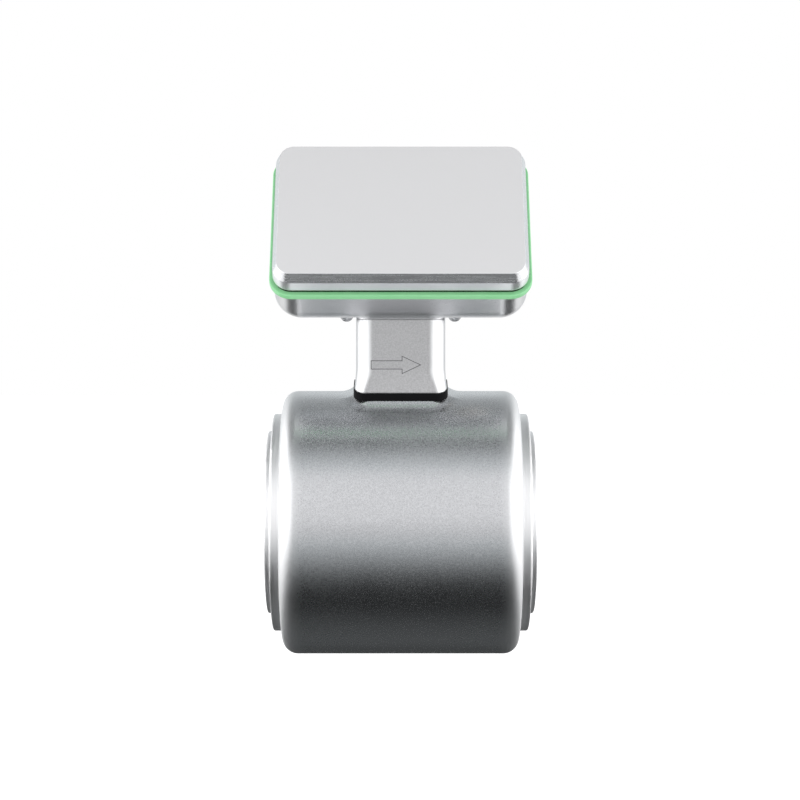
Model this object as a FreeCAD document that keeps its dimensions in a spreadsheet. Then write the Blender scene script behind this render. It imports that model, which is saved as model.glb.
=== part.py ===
"""Electromagnetic flow meter: a drum sensor for a 65 mm pipe with a tilted transmitter head.

The X axis is the pipe axis, and the flow runs towards +X.  The origin is the centre of the bore.
+Z points from the drum through the neck to the head, and the head's front cover looks towards
-Y and up.  All sizes are millimetres and stand in the spreadsheet "sizes".
"""

import FreeCAD, Part
import math
import os
import Sketcher
from FreeCAD import Placement, Rotation, Vector

# Every size that can be set by itself.  Lengths in millimetres, angles in degrees.
SIZES = {
    # Flow tube and liner
    "bore_diameter": 66.0,
    "liner_wall": 3.0,
    "tube_wall": 2.0,
    "liner_flare_width": 8.0,
    "liner_flare_thickness": 2.0,
    # Drum
    "drum_diameter": 131.0,
    "drum_length": 117.0,
    "drum_wall": 3.0,
    "drum_edge_radius": 7.5,
    # End flanges and the rings on them
    "flange_ledge": 11.3,
    "flange_step": 4.7,
    "flange_edge_radius": 1.0,
    "adapter_hole_inset": 4.35,
    "adapter_hole": 4.2,
    "adapter_hole_depth": 6.0,
    "adapter_hole_count": 6.0,
    "ring_thickness": 2.8,
    "ring_width": 12.5,
    "ring_edge_radius": 0.8,
    "ring_screw_inset": 2.8,
    "ring_screw_thread": 2.5,
    "ring_screw_head": 4.6,
    "ring_screw_length": 6.0,
    "seal_offset": 5.5,
    "seal_cord": 2.4,
    "seal_groove_width": 2.8,
    "seal_proud": 0.2,
    # Electrodes
    "electrode_head": 10.0,
    "electrode_head_thickness": 1.4,
    "electrode_stem": 4.0,
    "electrode_length": 15.0,
    "insulator_sleeve": 9.0,
    "insulator_flange": 15.0,
    "insulator_flange_thickness": 3.0,
    "spring_washer": 9.0,
    "spring_washer_thickness": 1.5,
    "electrode_nut": 7.0,
    "electrode_nut_height": 3.2,
    # Field coils and their iron
    "pole_gap": 0.5,
    "pole_shoe_thickness": 2.5,
    "pole_shoe_length": 44.0,
    "pole_shoe_angle": 70.0,
    "core_diameter": 18.0,
    "former_gap": 0.6,
    "former_wall": 0.8,
    "former_flange": 43.0,
    "winding_diameter": 41.0,
    "yoke_gap": 2.3,
    "yoke_thickness": 2.0,
    "yoke_width": 20.0,
    "core_screw": 5.0,
    "core_screw_head": 9.0,
    "core_screw_head_height": 1.9,
    "core_screw_length": 10.0,
    # Collar drawn up from the drum under the neck
    "collar_rise": 2.5,
    "collar_blend": 11.0,
    "gasket_thickness": 3.3,
    "gasket_inset": 0.1,
    # Neck
    "neck_width": 43.7,
    "neck_depth": 57.6,
    "neck_corner": 7.7,
    "neck_wall": 3.2,
    "neck_height": 35.5,
    "neck_pocket_depth": 19.0,
    "foot_flare": 1.3,
    "foot_corner": 5.2,
    "foot_drop": 9.3,
    "flare_top_height": 11.5,
    "seam_chamfer": 0.25,
    "passage_diameter": 24.0,
    "neck_screw": 4.0,
    "neck_screw_head": 7.0,
    "neck_screw_head_height": 4.0,
    "neck_screw_length": 21.0,
    "neck_screw_x": 13.5,
    "neck_screw_y": 20.0,
    "sensor_board_width": 36.0,
    "sensor_board_depth": 30.0,
    "sensor_board_lift": 6.0,
    "sensor_board_corner": 1.5,
    "sensor_screw_inset": 3.0,
    "sensor_boss": 5.0,
    "sensor_screw": 2.5,
    "sensor_screw_head": 4.5,
    "sensor_screw_head_height": 1.5,
    "sensor_screw_length": 5.0,
    "joint_boss": 8.4,
    "joint_boss_height": 15.0,
    "joint_screw_x": 14.8,
    "joint_screw_y": 21.8,
    "joint_screw_length": 12.0,
    "joint_seal_width": 1.4,
    "joint_seal_depth": 1.0,
    # Head: place and tilt of its parting plane
    "head_forward": 3.64779,
    "head_rise": 29.25909,
    "head_tilt": 55.0,
    # Head: outline and layers
    "head_width": 122.8,
    "head_height": 82.4,
    "cover_corner": 9.1,
    "cover_depth": 10.7,
    "bevel_inset": 2.05,
    "bevel_depth": 4.9,
    "cover_wall": 2.5,
    "seal_layer": 2.0,
    "seal_recess": 0.7,
    "ring_layer": 3.0,
    "ring_overhang": 1.8,
    "ring_corner": 11.0,
    "guide_width": 5.6,
    "shell_depth": 25.7,
    "shell_wall": 2.7,
    "shell_corner": 13.6,
    "shell_back_radius": 13.0,
    "stub_rear_height": 11.0,
    "stub_reach": 2.0,
    "stub_floor": 3.2,
    "stub_blend": 0.6,
    "cable_opening": 22.0,
    # Head: fasteners and posts
    "cover_screw_x": 26.5,
    "cover_screw_y": 32.5,
    "post_diameter": 9.0,
    "seat_diameter": 7.0,
    "seat_height": 0.6,
    "cover_screw": 4.0,
    "cover_screw_head": 6.5,
    "cover_screw_head_height": 3.0,
    "cover_screw_reach": 9.0,
    "screw_clearance": 0.25,
    # Head: boards
    "board_thickness": 1.6,
    "led_board_gap": 0.5,
    "led_board_rim": 9.0,
    "led_lift": 0.4,
    "lug_diameter": 8.0,
    "lug_inset": 7.5,
    "led_length": 3.0,
    "led_height": 1.2,
    "main_board_width": 92.0,
    "main_board_height": 54.0,
    "standoff_height": 13.4,
    "standoff_diameter": 6.0,
    "standoff_inset": 5.0,
    "board_screw": 3.0,
    "board_screw_head": 5.5,
    "board_screw_head_height": 1.8,
    "board_screw_length": 8.0,
    # Connector
    "connector_y": -2.0,
    "connector_thread": 12.0,
    "connector_thread_depth": 0.5,
    "connector_length": 11.0,
    "connector_flange": 20.0,
    "connector_flange_thickness": 3.0,
    "connector_wall": 1.4,
    "connector_mount": 16.0,
    "connector_inner_length": 9.0,
    "connector_nut": 19.0,
    "connector_nut_height": 3.5,
    "insert_recess": 4.0,
    "insert_length": 12.0,
    "pin_diameter": 1.0,
    "pin_circle": 5.0,
    "pin_length": 9.0,
    "pin_tail": 4.0,
}

doc = FreeCAD.newDocument("flow_meter")
sheet = doc.addObject("Spreadsheet::Sheet", "sizes")
for row, (alias, number) in enumerate(SIZES.items(), start=1):
    sheet.set(f"A{row}", alias)
    sheet.set(f"B{row}", str(number))
    sheet.setAlias(f"B{row}", alias)
doc.recompute()


class Size:
    """A length or angle that carries its value and the spreadsheet expression that gives it."""

    def __init__(self, value, text):
        self.value = value
        self.text = text

    def __add__(self, other):
        other = as_size(other)
        return Size(self.value + other.value, f"({self.text} + {other.text})")

    def __sub__(self, other):
        other = as_size(other)
        return Size(self.value - other.value, f"({self.text} - {other.text})")

    def __mul__(self, other):
        other = as_size(other)
        return Size(self.value * other.value, f"({self.text} * {other.text})")

    def __truediv__(self, other):
        other = as_size(other)
        return Size(self.value / other.value, f"({self.text} / {other.text})")

    def __radd__(self, other):
        return as_size(other) + self

    def __rsub__(self, other):
        return as_size(other) - self

    def __rmul__(self, other):
        return as_size(other) * self

    def __neg__(self):
        return Size(-self.value, f"(-1 * {self.text})")


def as_size(item):
    """A plain number becomes a Size; a Size stays as it is."""
    if isinstance(item, Size):
        return item
    return Size(float(item), f"({item})")


def size(alias):
    return Size(SIZES[alias], f"sizes.{alias}")


def sine(angle):
    return Size(math.sin(math.radians(angle.value)), f"sin({angle.text})")


def cosine(angle):
    return Size(math.cos(math.radians(angle.value)), f"cos({angle.text})")


def root(item):
    return Size(math.sqrt(item.value), f"sqrt({item.text})")


def bind(thing, path, item):
    """Tie a property to the spreadsheet."""
    thing.setExpression(path, as_size(item).text)


# ---------------------------------------------------------------- bodies, sketches and features

NODES = []


def new_body(label, node=True):
    """A body with its own Label; a node is one that is written to a file."""
    body = doc.addObject("PartDesign::Body", label)
    body.Label = label
    body.AllowCompound = True
    if node:
        NODES.append(body)
    return body


def origin_feature(body, role):
    for feature in body.Origin.OriginFeatures:
        if feature.Role == role:
            return feature
    raise ValueError(role)


def new_sketch(body, support, lift=0.0):
    """A sketch on an origin plane (by its role) or on a datum plane, lifted along its normal."""
    sketch = body.newObject("Sketcher::SketchObject", body.Name + "_sketch")
    plane = origin_feature(body, support) if isinstance(support, str) else support
    sketch.AttachmentSupport = (plane, [""])
    sketch.MapMode = "FlatFace"
    lift = as_size(lift)
    sketch.AttachmentOffset = Placement(Vector(0, 0, lift.value), Rotation())
    bind(sketch, "AttachmentOffset.Base.z", lift)
    return sketch


def pin_point(sketch, geometry, vertex, x, y):
    """Hold one vertex at (x, y) from the sketch's origin."""
    for kind, axis, item in (("DistanceX", -2, as_size(x)), ("DistanceY", -1, as_size(y))):
        if abs(item.value) < 1e-9:
            sketch.addConstraint(Sketcher.Constraint("PointOnObject", geometry, vertex, axis))
            continue
        rule = Sketcher.Constraint(kind, -1, 1, geometry, vertex, item.value)
        number = sketch.addConstraint(rule)
        bind(sketch, f"Constraints[{number}]", item)


def draw_polygon(sketch, points):
    """A closed outline of straight sides, each corner held by its own pair of sizes."""
    corners = [Vector(as_size(x).value, as_size(y).value, 0) for x, y in points]
    start = sketch.GeometryCount
    total = len(corners)
    for index in range(total):
        sketch.addGeometry(Part.LineSegment(corners[index], corners[(index + 1) % total]))
    for index in range(total):
        after = start + (index + 1) % total
        sketch.addConstraint(Sketcher.Constraint("Coincident", start + index, 2, after, 1))
    for index, (x, y) in enumerate(points):
        pin_point(sketch, start + index, 1, x, y)
    return sketch


def draw_circles(sketch, centres, radius):
    radius = as_size(radius)
    for x, y in centres:
        centre = Vector(as_size(x).value, as_size(y).value, 0)
        circle = sketch.addGeometry(Part.Circle(centre, Vector(0, 0, 1), radius.value))
        pin_point(sketch, circle, 3, x, y)
        number = sketch.addConstraint(Sketcher.Constraint("Radius", circle, radius.value))
        bind(sketch, f"Constraints[{number}]", radius)
    return sketch


def draw_rounded(sketch, half_width, half_height, corner, centre_y=0.0):
    """A rectangle with round corners, centred on the sketch's vertical axis."""
    half_width = as_size(half_width)
    half_height = as_size(half_height)
    corner = as_size(corner)
    middle = as_size(centre_y)
    inner_x = half_width - corner
    low = middle - (half_height - corner)
    high = middle + (half_height - corner)
    centres = [(inner_x, low), (inner_x, high), (-inner_x, high), (-inner_x, low)]
    radius = corner.value
    arcs = []
    for index, (x, y) in enumerate(centres):
        circle = Part.Circle(Vector(x.value, y.value, 0), Vector(0, 0, 1), radius)
        begin = math.radians(-90 + 90 * index)
        arcs.append(sketch.addGeometry(Part.ArcOfCircle(circle, begin, begin + math.pi / 2)))
    lines = []
    for index in range(4):
        tail = sketch.Geometry[arcs[index]].EndPoint
        head = sketch.Geometry[arcs[(index + 1) % 4]].StartPoint
        lines.append(sketch.addGeometry(Part.LineSegment(tail, head)))
    for index, (x, y) in enumerate(centres):
        arc = arcs[index]
        sketch.addConstraint(Sketcher.Constraint("Tangent", arc, 2, lines[index], 1))
        sketch.addConstraint(Sketcher.Constraint("Tangent", lines[index - 1], 2, arc, 1))
        pin_point(sketch, arc, 3, x, y)
        number = sketch.addConstraint(Sketcher.Constraint("Radius", arc, radius))
        bind(sketch, f"Constraints[{number}]", corner)
    return sketch


def grow(body, sketch, length, downwards=False, both_ways=False):
    """Pad a sketch."""
    pad = body.newObject("PartDesign::Pad", body.Name + "_pad")
    pad.Profile = sketch
    pad.Length = as_size(length).value
    bind(pad, "Length", length)
    pad.Reversed = downwards
    pad.Midplane = both_ways
    return pad


def cut(body, sketch, length, upwards=False, both_ways=False):
    """Pocket a sketch; it goes against the sketch's normal unless upwards is set."""
    pocket = body.newObject("PartDesign::Pocket", body.Name + "_pocket")
    pocket.Profile = sketch
    pocket.Length = as_size(length).value
    bind(pocket, "Length", length)
    pocket.Reversed = upwards
    pocket.Midplane = both_ways
    return pocket


def turn(body, sketch, axis, angle=None):
    """Revolve a sketch about an origin axis, all the way round or evenly about its plane."""
    revolution = body.newObject("PartDesign::Revolution", body.Name + "_turned")
    revolution.Profile = sketch
    revolution.ReferenceAxis = (origin_feature(body, axis), [""])
    if angle is not None:
        revolution.Midplane = True
        revolution.Angle = angle.value
        bind(revolution, "Angle", angle)
    return revolution


def turn_out(body, sketch, axis):
    """Cut a full groove about an origin axis."""
    groove = body.newObject("PartDesign::Groove", body.Name + "_groove")
    groove.Profile = sketch
    groove.ReferenceAxis = (origin_feature(body, axis), [""])
    groove.Angle = 360
    return groove


def pick_edges(feature, test):
    """Names of the edges of a feature whose points all pass the test."""
    doc.recompute()
    names = []
    for number, edge in enumerate(feature.Shape.Edges, start=1):
        if edge.Length > 1e-6 and all(test(point) for point in edge.discretize(5)):
            names.append(f"Edge{number}")
    if not names:
        raise RuntimeError("no edge found on " + feature.Name)
    return names


def round_edges(body, feature, radius, test):
    radius = as_size(radius)
    fillet = body.newObject("PartDesign::Fillet", body.Name + "_round")
    fillet.Base = (feature, pick_edges(feature, test))
    fillet.Radius = radius.value
    bind(fillet, "Radius", radius)
    return fillet


def corners_of(x, y):
    return [(x, y), (-x, y), (-x, -y), (x, -y)]


def ring_of(radius, count, start_angle):
    """Centres evenly round a circle."""
    places = []
    for index in range(count):
        angle = as_size(start_angle + 360.0 * index / count)
        places.append((radius * cosine(angle), radius * sine(angle)))
    return places


def off_axis(point):
    """Distance of a point from the pipe axis."""
    return math.hypot(point.y, point.z)


def near(first, second, slack=1e-3):
    return abs(first - second) < slack


# ------------------------------------------------------------------------- derived places

BORE = size("bore_diameter") / 2
LINER_OUT = BORE + size("liner_wall")
ELECTRODE_SEAT = BORE + size("electrode_head_thickness")
TUBE_OUT = LINER_OUT + size("tube_wall")
DRUM = size("drum_diameter") / 2
DRUM_HALF = size("drum_length") / 2
CAVITY = DRUM - size("drum_wall")
CAVITY_HALF = DRUM_HALF - size("drum_wall")
FLANGE = DRUM - size("flange_ledge")
FLANGE_HALF = DRUM_HALF + size("flange_step")
FLARE = BORE + size("liner_flare_width")
FLARE_FOOT = FLANGE_HALF - size("liner_flare_thickness")
BODY_HALF = FLANGE_HALF + size("ring_thickness")
ADAPTER_CIRCLE = FLANGE - size("adapter_hole_inset")
RING = BORE + size("ring_width")
RING_SCREW_CIRCLE = RING - size("ring_screw_inset")
SEAL_CIRCLE = BORE + size("seal_offset")
COLLAR = DRUM + size("collar_rise")
SADDLE = COLLAR + size("gasket_thickness")
NECK_TOP = DRUM + size("neck_height")
NECK_FLOOR = NECK_TOP - size("neck_pocket_depth")
TILT = size("head_tilt")
HEAD_LIFT = NECK_TOP + size("head_rise") + size("shell_depth") * cosine(TILT)
HEAD_FORWARD = size("head_forward") + size("shell_depth") * sine(TILT)
FOOT_HALF_WIDTH = size("neck_width") / 2 + size("foot_flare")
FOOT_HALF_DEPTH = size("neck_depth") / 2 + size("foot_flare")
GASKET_HALF_WIDTH = FOOT_HALF_WIDTH - size("gasket_inset")
GASKET_HALF_DEPTH = FOOT_HALF_DEPTH - size("gasket_inset")
GASKET_CORNER = size("foot_corner") - size("gasket_inset")
YOKE_OUT = CAVITY - size("yoke_gap")
YOKE_IN = YOKE_OUT - size("yoke_thickness")
POLE_IN = TUBE_OUT + size("pole_gap")
POLE_OUT = POLE_IN + size("pole_shoe_thickness")
CORE = size("core_diameter") / 2
FORMER_FOOT = POLE_OUT + size("former_gap")
FORMER_RIM = size("former_flange") / 2
FORMER_TOP = root(YOKE_IN * YOKE_IN - FORMER_RIM * FORMER_RIM) - size("former_gap")
HEAD_HALF_WIDTH = size("head_width") / 2
HEAD_HALF_HEIGHT = size("head_height") / 2
RING_HALF_WIDTH = HEAD_HALF_WIDTH + size("ring_overhang")
RING_HALF_HEIGHT = HEAD_HALF_HEIGHT + size("ring_overhang")
COVER_BACK = size("ring_layer") + size("seal_layer")
COVER_FRONT = COVER_BACK + size("cover_depth")
COVER_INNER = COVER_FRONT - size("cover_wall")
SHELL_FLOOR = size("shell_wall") - size("shell_depth")
SEAT_PLANE = -size("shell_depth") - size("seat_height")
STUB_FLOOR_TOP = NECK_TOP + size("stub_floor")
STUB_SIDE = size("neck_width") / 2
INNER_FLAT = HEAD_HALF_WIDTH - size("shell_back_radius")
CONNECTOR_X = (STUB_SIDE + INNER_FLAT) / 2


def head_to_world(along, out):
    """World (y, z) of a head point: along the face from its middle, out from the parting plane."""
    y = along * cosine(TILT) - out * sine(TILT) - HEAD_FORWARD
    z = along * sine(TILT) + out * cosine(TILT) + HEAD_LIFT
    return y, z


def place_in_head(body):
    """Give a body the head's frame: X across, Y up the face, Z out through the front cover."""
    forward = HEAD_FORWARD
    lift = HEAD_LIFT
    turned = Rotation(Vector(1, 0, 0), TILT.value)
    body.Placement = Placement(Vector(0, -forward.value, lift.value), turned)
    bind(body, "Placement.Base.y", -forward)
    bind(body, "Placement.Base.z", lift)
    bind(body, "Placement.Rotation.Angle", TILT)


def turn_about_z(body, side):
    """The inlet pieces are the outlet pieces turned half way round the vertical."""
    if side < 0:
        body.Placement = Placement(Vector(0, 0, 0), Rotation(Vector(0, 0, 1), 180))


# ------------------------------------------------------------------------- flow tube


def make_drum_shell():
    """Drum with a collar drawn up round the neck, open at both ends for the flanges."""
    body = new_body("drum_shell")
    profile = [(-DRUM_HALF, 0), (DRUM_HALF, 0), (DRUM_HALF, DRUM), (-DRUM_HALF, DRUM)]
    solid = turn(body, draw_polygon(new_sketch(body, "XY_Plane"), profile), "X_Axis")
    edge = size("drum_edge_radius")
    round_edges(body, solid, edge, lambda p: near(off_axis(p), DRUM.value)
                and near(abs(p.x), DRUM_HALF.value))

    # The blend leaves the drum well outside the gasket and is trimmed at the collar's height.
    blend = size("collar_blend")
    rise = size("collar_rise")
    hidden = root(blend * blend - (blend - rise) * (blend - rise))
    half_width = GASKET_HALF_WIDTH - (blend - hidden)
    lean = GASKET_HALF_DEPTH / DRUM
    upright = root(1 - lean * lean)
    half_depth = GASKET_HALF_DEPTH - (rise * lean + blend * (1 - lean) - hidden * upright)
    column = draw_rounded(new_sketch(body, "XY_Plane"), half_width, half_depth, GASKET_CORNER)
    raised = grow(body, column, COLLAR + blend)

    def on_joint(point):
        inside = abs(point.x) < half_width.value + 0.01 and abs(point.y) < half_depth.value + 0.01
        return inside and point.z > 0 and near(off_axis(point), DRUM.value)

    round_edges(body, raised, blend, on_joint)
    reach = GASKET_HALF_WIDTH + 2 * blend
    crest = COLLAR + 3 * blend
    trim = [(-reach, COLLAR), (reach, COLLAR), (reach, crest), (-reach, crest)]
    turn_out(body, draw_polygon(new_sketch(body, "XY_Plane"), trim), "X_Axis")

    hollow = [(-DRUM_HALF, 0), (DRUM_HALF, 0), (DRUM_HALF, FLANGE), (CAVITY_HALF, FLANGE),
              (CAVITY_HALF, CAVITY), (-CAVITY_HALF, CAVITY), (-CAVITY_HALF, FLANGE),
              (-DRUM_HALF, FLANGE)]
    opened = turn_out(body, draw_polygon(new_sketch(body, "XY_Plane"), hollow), "X_Axis")
    inner_edge = edge - size("drum_wall")
    round_edges(body, opened, inner_edge, lambda p: near(off_axis(p), CAVITY.value)
                and near(abs(p.x), CAVITY_HALF.value))
    holes = new_sketch(body, "XY_Plane", COLLAR)
    draw_circles(holes, [(0, 0)], size("passage_diameter") / 2)
    draw_circles(holes, corners_of(size("neck_screw_x"), size("neck_screw_y")),
                 size("neck_screw") / 2)
    cut(body, holes, COLLAR)
    return body


def make_measuring_tube():
    """Thin non-magnetic tube between the flanges, with a hole for each electrode."""
    body = new_body("measuring_tube")
    profile = [(-FLARE_FOOT, LINER_OUT), (FLARE_FOOT, LINER_OUT), (FLARE_FOOT, TUBE_OUT),
               (-FLARE_FOOT, TUBE_OUT)]
    turn(body, draw_polygon(new_sketch(body, "XY_Plane"), profile), "X_Axis")
    hole = draw_circles(new_sketch(body, "XZ_Plane"), [(0, 0)], size("insulator_sleeve") / 2)
    cut(body, hole, TUBE_OUT * 3, both_ways=True)
    return body


def make_liner():
    """Insulating liner, turned out over the flange faces at both ends."""
    body = new_body("liner")
    profile = [(-FLANGE_HALF, BORE), (FLANGE_HALF, BORE), (FLANGE_HALF, FLARE),
               (FLARE_FOOT, FLARE), (FLARE_FOOT, LINER_OUT), (-FLARE_FOOT, LINER_OUT),
               (-FLARE_FOOT, FLARE), (-FLANGE_HALF, FLARE)]
    turn(body, draw_polygon(new_sketch(body, "XY_Plane"), profile), "X_Axis")
    seats = draw_circles(new_sketch(body, "XZ_Plane"), [(0, 0)], size("electrode_head") / 2)
    cut(body, seats, ELECTRODE_SEAT * 2, both_ways=True)
    hole = draw_circles(new_sketch(body, "XZ_Plane"), [(0, 0)], size("electrode_stem") / 2)
    cut(body, hole, TUBE_OUT * 3, both_ways=True)
    return body


def make_flange(name, side):
    """End flange, welded to the tube and to the drum, with threaded holes for an adapter."""
    body = new_body("end_flange_" + name)
    profile = [(CAVITY_HALF, TUBE_OUT), (FLARE_FOOT, TUBE_OUT), (FLARE_FOOT, FLARE),
               (FLANGE_HALF, FLARE), (FLANGE_HALF, FLANGE), (CAVITY_HALF, FLANGE)]
    disc = turn(body, draw_polygon(new_sketch(body, "XY_Plane"), profile), "X_Axis")
    round_edges(body, disc, size("flange_edge_radius"),
                lambda p: near(off_axis(p), FLANGE.value) and near(p.x, FLANGE_HALF.value))
    threaded = new_sketch(body, "YZ_Plane", FLANGE_HALF)
    count = int(SIZES["adapter_hole_count"])
    draw_circles(threaded, ring_of(ADAPTER_CIRCLE, count, 30.0), size("adapter_hole") / 2)
    cut(body, threaded, size("adapter_hole_depth"))
    small = new_sketch(body, "YZ_Plane", FLANGE_HALF)
    draw_circles(small, ring_of(RING_SCREW_CIRCLE, 4, 45.0), size("ring_screw_thread") / 2)
    cut(body, small, size("ring_screw_length"))
    turn_about_z(body, side)
    return body


def make_earthing_ring(name, side):
    """Flat ring that touches the medium, with a seal groove and countersunk screw holes."""
    body = new_body("earthing_ring_" + name)
    profile = [(FLANGE_HALF, BORE), (BODY_HALF, BORE), (BODY_HALF, RING), (FLANGE_HALF, RING)]
    disc = turn(body, draw_polygon(new_sketch(body, "XY_Plane"), profile), "X_Axis")
    round_edges(body, disc, size("ring_edge_radius"),
                lambda p: near(off_axis(p), RING.value) and near(p.x, BODY_HALF.value))
    half_groove = size("seal_groove_width") / 2
    bottom = BODY_HALF + size("seal_proud") - size("seal_cord")
    inner = SEAL_CIRCLE - half_groove
    outer = SEAL_CIRCLE + half_groove
    groove = [(bottom, inner), (BODY_HALF, inner), (BODY_HALF, outer), (bottom, outer)]
    turn_out(body, draw_polygon(new_sketch(body, "XY_Plane"), groove), "X_Axis")
    places = ring_of(RING_SCREW_CIRCLE, 4, 45.0)
    heads = draw_circles(new_sketch(body, "YZ_Plane", BODY_HALF), places,
                         size("ring_screw_head") / 2)
    cut(body, heads, screw_head_depth())
    shanks = draw_circles(new_sketch(body, "YZ_Plane", BODY_HALF), places,
                          size("ring_screw_thread") / 2)
    cut(body, shanks, size("ring_thickness"))
    turn_about_z(body, side)
    return body


def screw_head_depth():
    """Depth of the counterbore for the ring screws: just over half the ring."""
    return size("ring_thickness") * 0.55


def make_ring_screws(name, side):
    """Four cheese-head screws, flush with the earthing ring."""
    body = new_body("ring_screws_" + name)
    places = ring_of(RING_SCREW_CIRCLE, 4, 45.0)
    depth = screw_head_depth()
    heads = draw_circles(new_sketch(body, "YZ_Plane", BODY_HALF), places,
                         size("ring_screw_head") / 2)
    grow(body, heads, depth, downwards=True)
    shanks = draw_circles(new_sketch(body, "YZ_Plane", BODY_HALF), places,
                          size("ring_screw_thread") / 2)
    grow(body, shanks, size("ring_thickness") + size("ring_screw_length") * 0.8, downwards=True)
    sockets = draw_circles(new_sketch(body, "YZ_Plane", BODY_HALF), places,
                           size("ring_screw_thread") * 0.35)
    cut(body, sockets, depth * 0.7)
    turn_about_z(body, side)
    return body


def make_process_seal(name, side):
    """Round seal in the earthing ring's groove, standing a little proud."""
    body = new_body("process_seal_" + name)
    cord = size("seal_cord") / 2
    centre_x = BODY_HALF + size("seal_proud") - cord
    sketch = draw_circles(new_sketch(body, "XY_Plane"), [(centre_x, SEAL_CIRCLE)], cord)
    turn(body, sketch, "X_Axis")
    turn_about_z(body, side)
    return body


# ------------------------------------------------------------------------- electrodes


def make_electrode(name, side):
    """Electrode with a flat head flush in the liner and a stem that passes through the tube."""
    body = new_body("electrode_" + name)
    head = size("electrode_head") / 2
    stem = size("electrode_stem") / 2
    end = ELECTRODE_SEAT + size("electrode_length")
    profile = [(0, BORE), (head, BORE), (head, ELECTRODE_SEAT), (stem, ELECTRODE_SEAT),
               (stem, end), (0, end)]
    turn(body, draw_polygon(new_sketch(body, "XY_Plane"), profile), "Y_Axis")
    turn_about_z(body, side)
    return body


def make_insulator(name, side):
    """Shouldered bush that keeps the electrode off the metal tube."""
    body = new_body("electrode_insulator_" + name)
    stem = size("electrode_stem") / 2
    sleeve = size("insulator_sleeve") / 2
    flange = size("insulator_flange") / 2
    top = TUBE_OUT + size("insulator_flange_thickness")
    profile = [(stem, LINER_OUT), (sleeve, LINER_OUT), (sleeve, TUBE_OUT), (flange, TUBE_OUT),
               (flange, top), (stem, top)]
    turn(body, draw_polygon(new_sketch(body, "XY_Plane"), profile), "Y_Axis")
    turn_about_z(body, side)
    return body


def make_electrode_washer(name, side):
    """Conical spring washer under the nut."""
    body = new_body("electrode_washer_" + name)
    stem = size("electrode_stem") / 2
    rim = size("spring_washer") / 2
    foot = TUBE_OUT + size("insulator_flange_thickness")
    height = size("spring_washer_thickness")
    profile = [(stem, foot + height * 0.5), (rim - 0.4, foot), (rim, foot + height * 0.5),
               (stem, foot + height)]
    turn(body, draw_polygon(new_sketch(body, "XY_Plane"), profile), "Y_Axis")
    turn_about_z(body, side)
    return body


def draw_hexagon(sketch, across_flats, centre=(0.0, 0.0)):
    radius = across_flats / (2 * cosine(as_size(30.0)))
    points = [(radius * cosine(as_size(60.0 * k)) + centre[0],
               radius * sine(as_size(60.0 * k)) + centre[1]) for k in range(6)]
    return draw_polygon(sketch, points)


def make_electrode_nut(name, side):
    body = new_body("electrode_nut_" + name)
    foot = TUBE_OUT + size("insulator_flange_thickness") + size("spring_washer_thickness")
    sketch = draw_hexagon(new_sketch(body, "XZ_Plane", -foot), size("electrode_nut"))
    draw_circles(sketch, [(0, 0)], size("electrode_stem") / 2)
    grow(body, sketch, size("electrode_nut_height"), downwards=True)
    turn_about_z(body, side)
    return body


# ------------------------------------------------------------------------- field coils


def flip_down(body, lower):
    """The lower coil set is the upper one turned half way round the pipe axis."""
    if lower:
        body.Placement = Placement(Vector(0, 0, 0), Rotation(Vector(1, 0, 0), 180))


def make_pole_piece(name, lower):
    """Round iron core on a shoe that wraps the tube; its top fits the yoke's curve."""
    body = new_body("pole_piece_" + name)
    half = size("pole_shoe_length") / 2
    profile = [(-half, POLE_IN), (half, POLE_IN), (half, POLE_OUT), (-half, POLE_OUT)]
    turn(body, draw_polygon(new_sketch(body, "XZ_Plane"), profile), "X_Axis",
         size("pole_shoe_angle"))
    start = POLE_OUT - size("pole_shoe_thickness") * 0.5
    grow(body, draw_circles(new_sketch(body, "XY_Plane", start), [(0, 0)], CORE),
         YOKE_OUT - start)
    trim = [(-CORE * 2, YOKE_IN), (CORE * 2, YOKE_IN), (CORE * 2, YOKE_OUT * 1.1),
            (-CORE * 2, YOKE_OUT * 1.1)]
    turn_out(body, draw_polygon(new_sketch(body, "XY_Plane"), trim), "X_Axis")
    hole = draw_circles(new_sketch(body, "XY_Plane", YOKE_OUT), [(0, 0)],
                        size("core_screw") / 2)
    cut(body, hole, size("core_screw_length"))
    flip_down(body, lower)
    return body


def make_coil_former(name, lower):
    """Moulded bobbin with two flanges."""
    body = new_body("coil_former_" + name)
    wall = size("former_wall")
    foot = FORMER_FOOT + wall
    top = FORMER_TOP - wall
    profile = [(CORE, FORMER_FOOT), (FORMER_RIM, FORMER_FOOT), (FORMER_RIM, foot),
               (CORE + wall, foot), (CORE + wall, top), (FORMER_RIM, top),
               (FORMER_RIM, FORMER_TOP), (CORE, FORMER_TOP)]
    turn(body, draw_polygon(new_sketch(body, "XZ_Plane"), profile), "Z_Axis")
    flip_down(body, lower)
    return body


def make_coil_winding(name, lower):
    body = new_body("coil_winding_" + name)
    wall = size("former_wall")
    rim = size("winding_diameter") / 2
    foot = FORMER_FOOT + wall
    top = FORMER_TOP - wall
    profile = [(CORE + wall, foot), (rim, foot), (rim, top), (CORE + wall, top)]
    turn(body, draw_polygon(new_sketch(body, "XZ_Plane"), profile), "Z_Axis")
    flip_down(body, lower)
    return body


def make_yoke(name, side):
    """Half of the iron band that carries the field back round the tube."""
    body = new_body("yoke_" + name)
    half = size("yoke_width") / 2
    profile = [(-half, YOKE_IN), (half, YOKE_IN), (half, YOKE_OUT), (-half, YOKE_OUT)]
    turn(body, draw_polygon(new_sketch(body, "XY_Plane"), profile), "X_Axis",
         as_size(180.0))
    hole = draw_circles(new_sketch(body, "XY_Plane"), [(0, 0)], size("core_screw") / 2)
    cut(body, hole, YOKE_OUT * 3, both_ways=True)
    turn_about_z(body, side)
    return body


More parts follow.
